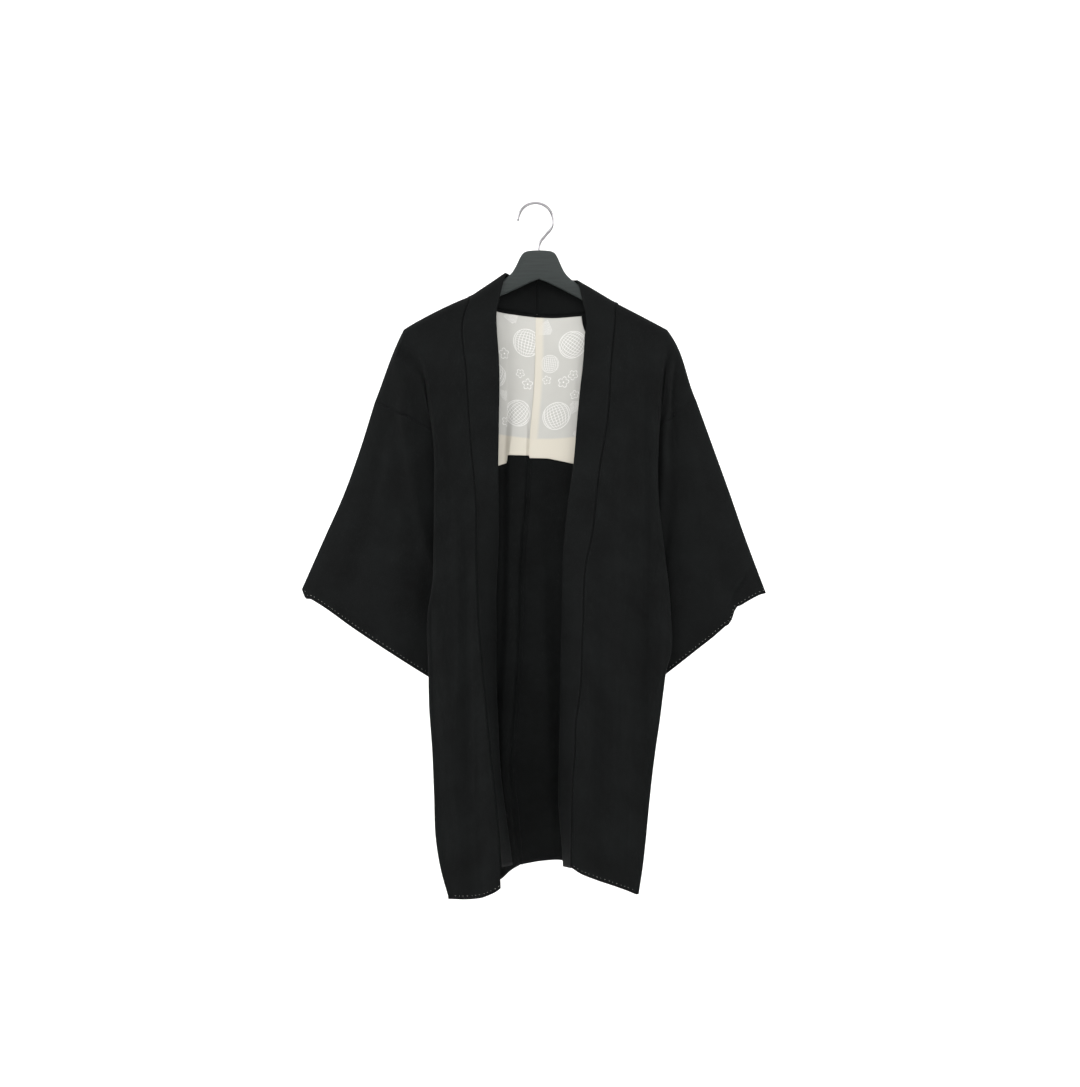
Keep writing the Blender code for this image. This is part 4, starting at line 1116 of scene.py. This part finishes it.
class HAORI_OT_collar(bpy.types.Operator):
    """Build the folded collar band, in two halves joined at the centre back"""
    bl_idname = "haori.collar"
    bl_label = "Collar band"

    def execute(self, context):
        sizes = context.scene.haori_sizes
        for side in SIDES:
            pairs = []
            for f in steps(NAPE_ROWS)[:-1]:
                pairs.append(collar_row(side, f=f))
            for t in shoulder_to_hem(130):
                pairs.append(collar_row(side, t=t * side.collar_end))
            seams = np.array([tuple(real_place(seam)) for seam, free in pairs])
            frees = np.array([tuple(real_place(free)) for seam, free in pairs])
            rings = [self.ring(side, seams, frees, k) for k in range(len(pairs))]
            bm = bmesh.new()
            self.loft(bm, rings)
            name = "collar_" + side.name
            material = crepe_material("black_silk_crepe_collar_" + side.name, sizes)
            piece = finish_piece(bm, "cloth_" + name, [material], 0)
            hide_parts(name)
        return {"FINISHED"}

    @staticmethod
    def ring(side, seams, frees, k):
        """One section of the band: outer face, round free edge, inner face, and a strip under the panel."""
        before = max(k - 1, 0)
        after = min(k + 1, len(seams) - 1)
        along = (seams[after] + frees[after]) / 2 - (seams[before] + frees[before]) / 2
        across = frees[k] - seams[k]
        width = np.linalg.norm(across)
        across = across / width
        outward = np.cross(across, along) * -side.sign
        outward /= np.linalg.norm(outward)
        wander = 0.5 * math.sin(k * 0.11 + side.sign) + 0.3 * math.sin(k * 0.043)
        # The seam allowance lies behind the panel, so it follows the panel and not the band
        panel_way = np.array((side.sign, 0.0, 0.0))
        behind = np.array((0.0, 1.0, 0.0))
        at_nape = k < NAPE_ROWS
        points_out = []
        points_in = []
        for place, depth, half in SEAM_ALLOWANCE:
            if at_nape:
                centre = seams[k] - across * place * MILLIMETRE - outward * depth * MILLIMETRE
                points_out.append(centre + outward * half * MILLIMETRE)
                points_in.append(centre - outward * half * MILLIMETRE)
            else:
                centre = seams[k] + (panel_way * place + behind * depth) * MILLIMETRE
                points_out.append(centre - behind * half * MILLIMETRE)
                points_in.append(centre + behind * half * MILLIMETRE)
        for share, lift, half in BAND_PROFILE:
            centre = seams[k] + across * share * width
            sway = lift + wander * ease(0.15, 0.6, share)
            points_out.append(centre + outward * (sway + half) * MILLIMETRE)
            points_in.append(centre + outward * (sway - half) * MILLIMETRE)
        for angle in (20, 45, 70, 90):
            half = BAND_HALF * math.cos(math.radians(angle)) + 0.1
            reach = width - BAND_HALF * MILLIMETRE * (1 - math.sin(math.radians(angle)))
            centre = seams[k] + across * reach
            points_out.append(centre + outward * (wander + half) * MILLIMETRE)
            points_in.append(centre + outward * (wander - half) * MILLIMETRE)
        return points_out + points_in[::-1]

    @staticmethod
    def loft(bm, rings):
        """A closed tube through the rings, from a grid whose first and last columns are joined."""
        count = len(rings[0])
        bmesh.ops.create_grid(bm, x_segments=count, y_segments=len(rings) - 1, size=1.0)
        bm.verts.ensure_lookup_table()
        layer = bm.loops.layers.uv.verify()
        run = np.cumsum([0.0] + [float(np.linalg.norm(rings[k + 1][5] - rings[k][5])) for k in range(len(rings) - 1)])
        for r, ring in enumerate(rings):
            girth = 0.0
            for c in range(count + 1):
                vert = bm.verts[r * (count + 1) + c]
                point = ring[c % count]
                if c:
                    girth += float(np.linalg.norm(point - ring[c - 1]))
                vert.co = point
                for loop in vert.link_loops:
                    loop[layer].uv = (girth, run[r])
        bmesh.ops.remove_doubles(bm, verts=bm.verts, dist=0.000005)
        ends = [edge for edge in bm.edges if edge.is_boundary]
        bmesh.ops.holes_fill(bm, edges=ends, sides=0)


class HAORI_OT_lining(bpy.types.Operator):
    """Build the figured satin lining of the upper back"""
    bl_idname = "haori.lining"
    bl_label = "Lining"

    def execute(self, context):
        sizes = context.scene.haori_sizes
        ball = thread_ball_group()
        blossom = blossom_group()
        fan = fan_group()
        figures = {
            "right": ((ball, BALLS_RIGHT), (blossom, BLOSSOMS_RIGHT), (fan, FANS_RIGHT)),
            "left": ((ball, BALLS_LEFT), (blossom, BLOSSOMS_LEFT), (fan, FANS_LEFT)),
        }
        for side in SIDES:
            rows = []
            for k in steps(90):
                t = mix(0.0045, 0.272, k)
                widest = mix(0.35, 0.56, ease(0.0, 0.12, t))
                row = []
                for n in steps(70):
                    place = back_place(side, widest * n, t)
                    top = back_place(side, widest * n, 0.0045).down
                    down = mix(top, level(LINING_BOTTOM, place.x), k)
                    puff = 0.7 * math.sin(math.pi * k) * math.sin(place.x / 11 + side.sign)
                    row.append(Place(place.x, down, place.y - 2.4 - puff * ease(0, 0.15, k)))
                first = row[0]
                row[0] = Place(first.x + side.sign * 0.1, first.down, first.y)
                if side.sign < 0:
                    row.insert(0, Place(first.x + 3.0, first.down, first.y + 0.9))
                rows.append(row)
            bm = bmesh.new()
            add_grid(bm, rows)
            layer = bm.loops.layers.uv.verify()
            for face in bm.faces:
                for loop in face.loops:
                    u, v = loop[layer].uv
                    loop[layer].uv = (u, LINING_LENGTH * MILLIMETRE - v)
            name = "lining_" + side.name
            material = satin_material("figured_satin_" + side.name, sizes, figures[side.name])
            piece = finish_piece(bm, "cloth_" + name, [material], 0.5)
            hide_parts(name)
        return {"FINISHED"}


THREAD_RADIUS = 0.26


class HAORI_OT_basting(bpy.types.Operator):
    """Lay the white basting stitches along the cuffs and the hem"""
    bl_idname = "haori.basting"
    bl_label = "Basting stitches"

    def execute(self, context):
        sizes = context.scene.haori_sizes
        material = thread_material(sizes)
        for side in SIDES:
            cuff = []
            for n in range(241):
                angle = 2 * math.pi * n / 240
                place = sleeve_place(side, 0.985, angle)
                face = -1 if math.sin(angle) >= 0 else 1
                rise = 0.75 * min(1, 4 * abs(math.sin(angle)))
                cuff.append(Place(place.x, place.down, place.y + face * rise))
            self.stitch("basting_cuff_" + side.name, cuff, sizes, material)
            hem = [front_place(side, mix(0.01, 0.97, k), 0.994) for k in steps(80)]
            hem = [Place(p.x, p.down, p.y - 0.75) for p in hem]
            self.stitch("basting_front_hem_" + side.name, hem, sizes, material)
            hem = [back_place(side, mix(0.02, 0.97, k), 0.994) for k in steps(80)]
            hem = [Place(p.x, p.down, p.y + 0.75) for p in hem]
            self.stitch("basting_back_hem_" + side.name, hem, sizes, material)
        return {"FINISHED"}

    @staticmethod
    def stitch(name, line, sizes, material):
        """A row of short thread loops of uneven length along a line of places."""
        points = [real_place(place) for place in line]
        bm = bmesh.new()
        gone = 0.0
        due = 0.003
        count = 0
        for first, second in zip(points, points[1:]):
            length = (second - first).length
            while due < gone + length:
                centre = first.lerp(second, (due - gone) / length)
                reach = (0.95 + 0.25 * math.sin(count * 2.4)) * MILLIMETRE
                made = bmesh.ops.create_uvsphere(bm, u_segments=6, v_segments=5, radius=1.0)["verts"]
                turn = (second - first).to_track_quat("Z", "Y").to_matrix()
                for vert in made:
                    thin = THREAD_RADIUS * MILLIMETRE
                    vert.co = centre + turn @ Vector((vert.co.x * thin, vert.co.y * thin, vert.co.z * reach))
                due += sizes.stitch_pitch * (1 + 0.16 * math.sin(count * 1.9)) * MILLIMETRE
                count += 1
            gone += length
        piece = finish_piece(bm, name, [material], 0, merge=0.0000001)
        return piece


class HAORI_OT_hanger(bpy.types.Operator):
    """Build the shaped wooden body of the hanger and finish its wire hook"""
    bl_idname = "haori.hanger"
    bl_label = "Hanger"

    def execute(self, context):
        sizes = context.scene.haori_sizes
        stations = [-198 + 396 * k / 180 for k in range(181)]
        corners = ((1, 1), (-1, 1), (-1, -1), (1, -1))
        bm = bmesh.new()
        around = 32
        bmesh.ops.create_grid(bm, x_segments=around, y_segments=len(stations) - 1, size=1.0)
        bm.verts.ensure_lookup_table()
        for r, x in enumerate(stations):
            out = abs(x)
            top = read(HANGER_ARM, out, "top") + 0.3
            bottom = read(HANGER_ARM, out, "bottom") - 0.3
            half = HANGER_HALF_THICKNESS * (1 - 0.4 * ease(186, 198, out))
            radius = min(HANGER_EDGE_RADIUS, half - 0.3)
            shift = HANGER_MIDDLE_SHIFT * (1 - ease(20, 80, out))
            middle = (top + bottom) / 2
            for c in range(around + 1):
                quarter, step = divmod(c % around, around // 4)
                sign_y, sign_down = corners[quarter]
                angle = math.radians(90 * quarter + 90 * step / (around // 4 - 1))
                y = sign_y * (half - radius) + radius * math.cos(angle)
                down = middle + sign_down * ((bottom - top) / 2 - radius) + radius * math.sin(angle)
                place = Place(x + shift, down, arm_depth(x) + y)
                bm.verts[r * (around + 1) + c].co = real_place(place)
        bmesh.ops.remove_doubles(bm, verts=bm.verts, dist=0.000005)
        ends = [edge for edge in bm.edges if edge.is_boundary]
        bmesh.ops.holes_fill(bm, edges=ends, sides=0)
        piece = finish_piece(bm, "hanger_wood", [lacquer_material(sizes)], 0, merge=0.000001)
        piece.data.set_sharp_from_angle(angle=math.radians(55))
        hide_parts("hanger_body")
        self.hook()
        return {"FINISHED"}

    @staticmethod
    def hook():
        """The wire hook, with a smooth arc, a rounded tip and a short bend into the wood."""
        centre = -(HOOK_ARC_RADIUS - HOOK_WIRE_RADIUS)
        points = []
        for k in range(57):
            angle = math.radians(178 - k * 4)
            points.append((HOOK_ARC_RADIUS * math.cos(angle), centre + HOOK_ARC_RADIUS * math.sin(angle)))
        shank_x = MIDDLE_LINE_X + HANGER_MIDDLE_SHIFT
        points += [(12.0, -54.5), (8.6, -58.4), (6.6, -62.5), (shank_x, -67.0), (shank_x, -HANGER_ARM[0].top - 1)]
        path = [Vector((x * MILLIMETRE, 0, z * MILLIMETRE)) for x, z in points]
        bm = bmesh.new()
        around = 16
        bmesh.ops.create_grid(bm, x_segments=around, y_segments=len(path) + 3, size=1.0)
        bm.verts.ensure_lookup_table()
        ahead = (path[1] - path[0]).normalized()
        radius = HOOK_WIRE_RADIUS * MILLIMETRE * 0.99
        stations = [
            (path[0] - ahead * radius * 0.95, radius * 0.2), (path[0] - ahead * radius * 0.7, radius * 0.68),
            (path[0] - ahead * radius * 0.35, radius * 0.92),
        ]
        stations += [(point, radius) for point in path] + [(path[-1] - Vector((0, 0, 0.0002)), radius)]
        for r, (point, size) in enumerate(stations):
            before = path[max(min(r - 3, len(path) - 1) - 1, 0)]
            after = path[min(max(r - 3, 0) + 1, len(path) - 1)]
            along = (after - before).normalized()
            side_way = Vector((along.z, 0, -along.x))
            for c in range(around + 1):
                angle = 2 * math.pi * (c % around) / around
                way = side_way * math.cos(angle) + Vector((0, 1, 0)) * math.sin(angle)
                bm.verts[r * (around + 1) + c].co = point + way * size
        bmesh.ops.remove_doubles(bm, verts=bm.verts, dist=0.000005)
        ends = [edge for edge in bm.edges if edge.is_boundary]
        bmesh.ops.holes_fill(bm, edges=ends, sides=0)
        piece = finish_piece(bm, "hanger_wire_hook", [chrome_material()], 0, merge=0.000001)
        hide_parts("hanger_hook")


class HAORI_OT_stage(bpy.types.Operator):
    """Set the pale floor and wall, the soft studio light and the camera"""
    bl_idname = "haori.stage"
    bl_label = "Stage"

    def execute(self, context):
        floor_z = -1.55
        wall_y = 1.5
        bend = 0.8
        bm = bmesh.new()
        bmesh.ops.create_grid(bm, x_segments=2, y_segments=40, size=1.0)
        bm.verts.ensure_lookup_table()
        for index, vert in enumerate(bm.verts):
            row, column = divmod(index, 3)
            along = row / 40
            if along < 0.4:
                y, z = mix(-6.0, wall_y - bend, along / 0.4), floor_z
            elif along < 0.8:
                angle = math.pi / 2 * (along - 0.4) / 0.4
                y, z = wall_y - bend + bend * math.sin(angle), floor_z + bend * (1 - math.cos(angle))
            else:
                y, z = wall_y, mix(floor_z + bend, 4.0, (along - 0.8) / 0.2)
            vert.co = ((column - 1) * 5.0, y, z)
        mesh = bpy.data.meshes.new("studio_sweep")
        bm.to_mesh(mesh)
        bm.free()
        mesh.shade_smooth()
        mesh.materials.append(stage_material())
        sweep = bpy.data.objects.new("studio_sweep", mesh)
        context.scene.collection.objects.link(sweep)
        self.light(context)
        self.camera(context)
        return {"FINISHED"}

    @staticmethod
    def light(context):
        """A soft window light from the front left, a fill from the front, and a lit wall."""
        Lamp = namedtuple("Lamp", "name place aim size power")
        lamps = (
            Lamp("window_left", (-2.2, -1.9, 1.3), (0, 0, -0.2), 1.5, 44),
            Lamp("front_fill", (0.3, -2.3, 0.8), (0, 0, -0.2), 1.6, 27),
            Lamp("window_right", (2.3, -1.9, 0.8), (0, 0, -0.3), 1.6, 11),
            Lamp("wall_left", (-2.4, -0.2, 0.6), (0.2, 1.5, -0.6), 1.4, 56),
            Lamp("wall_right", (2.4, -0.2, 0.6), (-0.2, 1.5, -0.6), 1.4, 56),
            Lamp("overhead", (0, -0.3, 2.2), (0, 0.1, -0.5), 1.6, 18),
        )
        for lamp in lamps:
            data = bpy.data.lights.new(lamp.name, "AREA")
            data.size = lamp.size
            data.energy = lamp.power
            light = bpy.data.objects.new(lamp.name, data)
            light.location = lamp.place
            light.rotation_euler = (Vector(lamp.aim) - Vector(lamp.place)).to_track_quat("-Z", "Y").to_euler()
            context.scene.collection.objects.link(light)
        world = bpy.data.worlds.new("soft_white")
        world.use_nodes = True
        sky = world.node_tree.nodes["Background"]
        sky.inputs["Color"].default_value = (1, 1, 1, 1)
        sky.inputs["Strength"].default_value = 0.42
        context.scene.world = world
        context.scene.view_settings.view_transform = "Standard"

    @staticmethod
    def camera(context):
        """The photograph's straight view from in front."""
        data = bpy.data.cameras.new("front_view")
        data.sensor_width = 36.0
        data.lens = 36.0 * VIEW_DISTANCE / VIEW_HEIGHT
        camera = bpy.data.objects.new("front_view", data)
        camera.location = (EYE_X * MILLIMETRE, -VIEW_DISTANCE * MILLIMETRE, -EYE_DOWN * MILLIMETRE)
        camera.rotation_euler = (math.pi / 2, 0, 0)
        context.scene.collection.objects.link(camera)
        context.scene.camera = camera


OPERATORS = (
    HAORI_OT_body, HAORI_OT_sleeves, HAORI_OT_gussets, HAORI_OT_collar, HAORI_OT_lining,
    HAORI_OT_basting, HAORI_OT_hanger, HAORI_OT_stage,
)


class HAORI_PT_panel(bpy.types.Panel):
    """Lists the pieces of the haori"""
    bl_idname = "HAORI_PT_panel"
    bl_label = "Haori on its hanger"
    bl_space_type = "VIEW_3D"
    bl_region_type = "UI"
    bl_category = "Haori"

    def draw(self, context):
        sizes = context.scene.haori_sizes
        for name in HaoriSizes.__annotations__:
            self.layout.prop(sizes, name)
        for operator in OPERATORS:
            self.layout.operator(operator.bl_idname)


CLASSES = (HaoriSizes, *OPERATORS, HAORI_PT_panel)


def register():
    for item in CLASSES:
        bpy.utils.register_class(item)
    bpy.types.Scene.haori_sizes = bpy.props.PointerProperty(type=HaoriSizes)


def unregister():
    del bpy.types.Scene.haori_sizes
    for item in reversed(CLASSES):
        bpy.utils.unregister_class(item)


def main():
    register()
    bpy.ops.haori.body()
    bpy.ops.haori.sleeves()
    bpy.ops.haori.gussets()
    bpy.ops.haori.collar()
    bpy.ops.haori.lining()
    bpy.ops.haori.basting()
    bpy.ops.haori.hanger()
    bpy.ops.haori.stage()


if __name__ == "__main__":
    main()
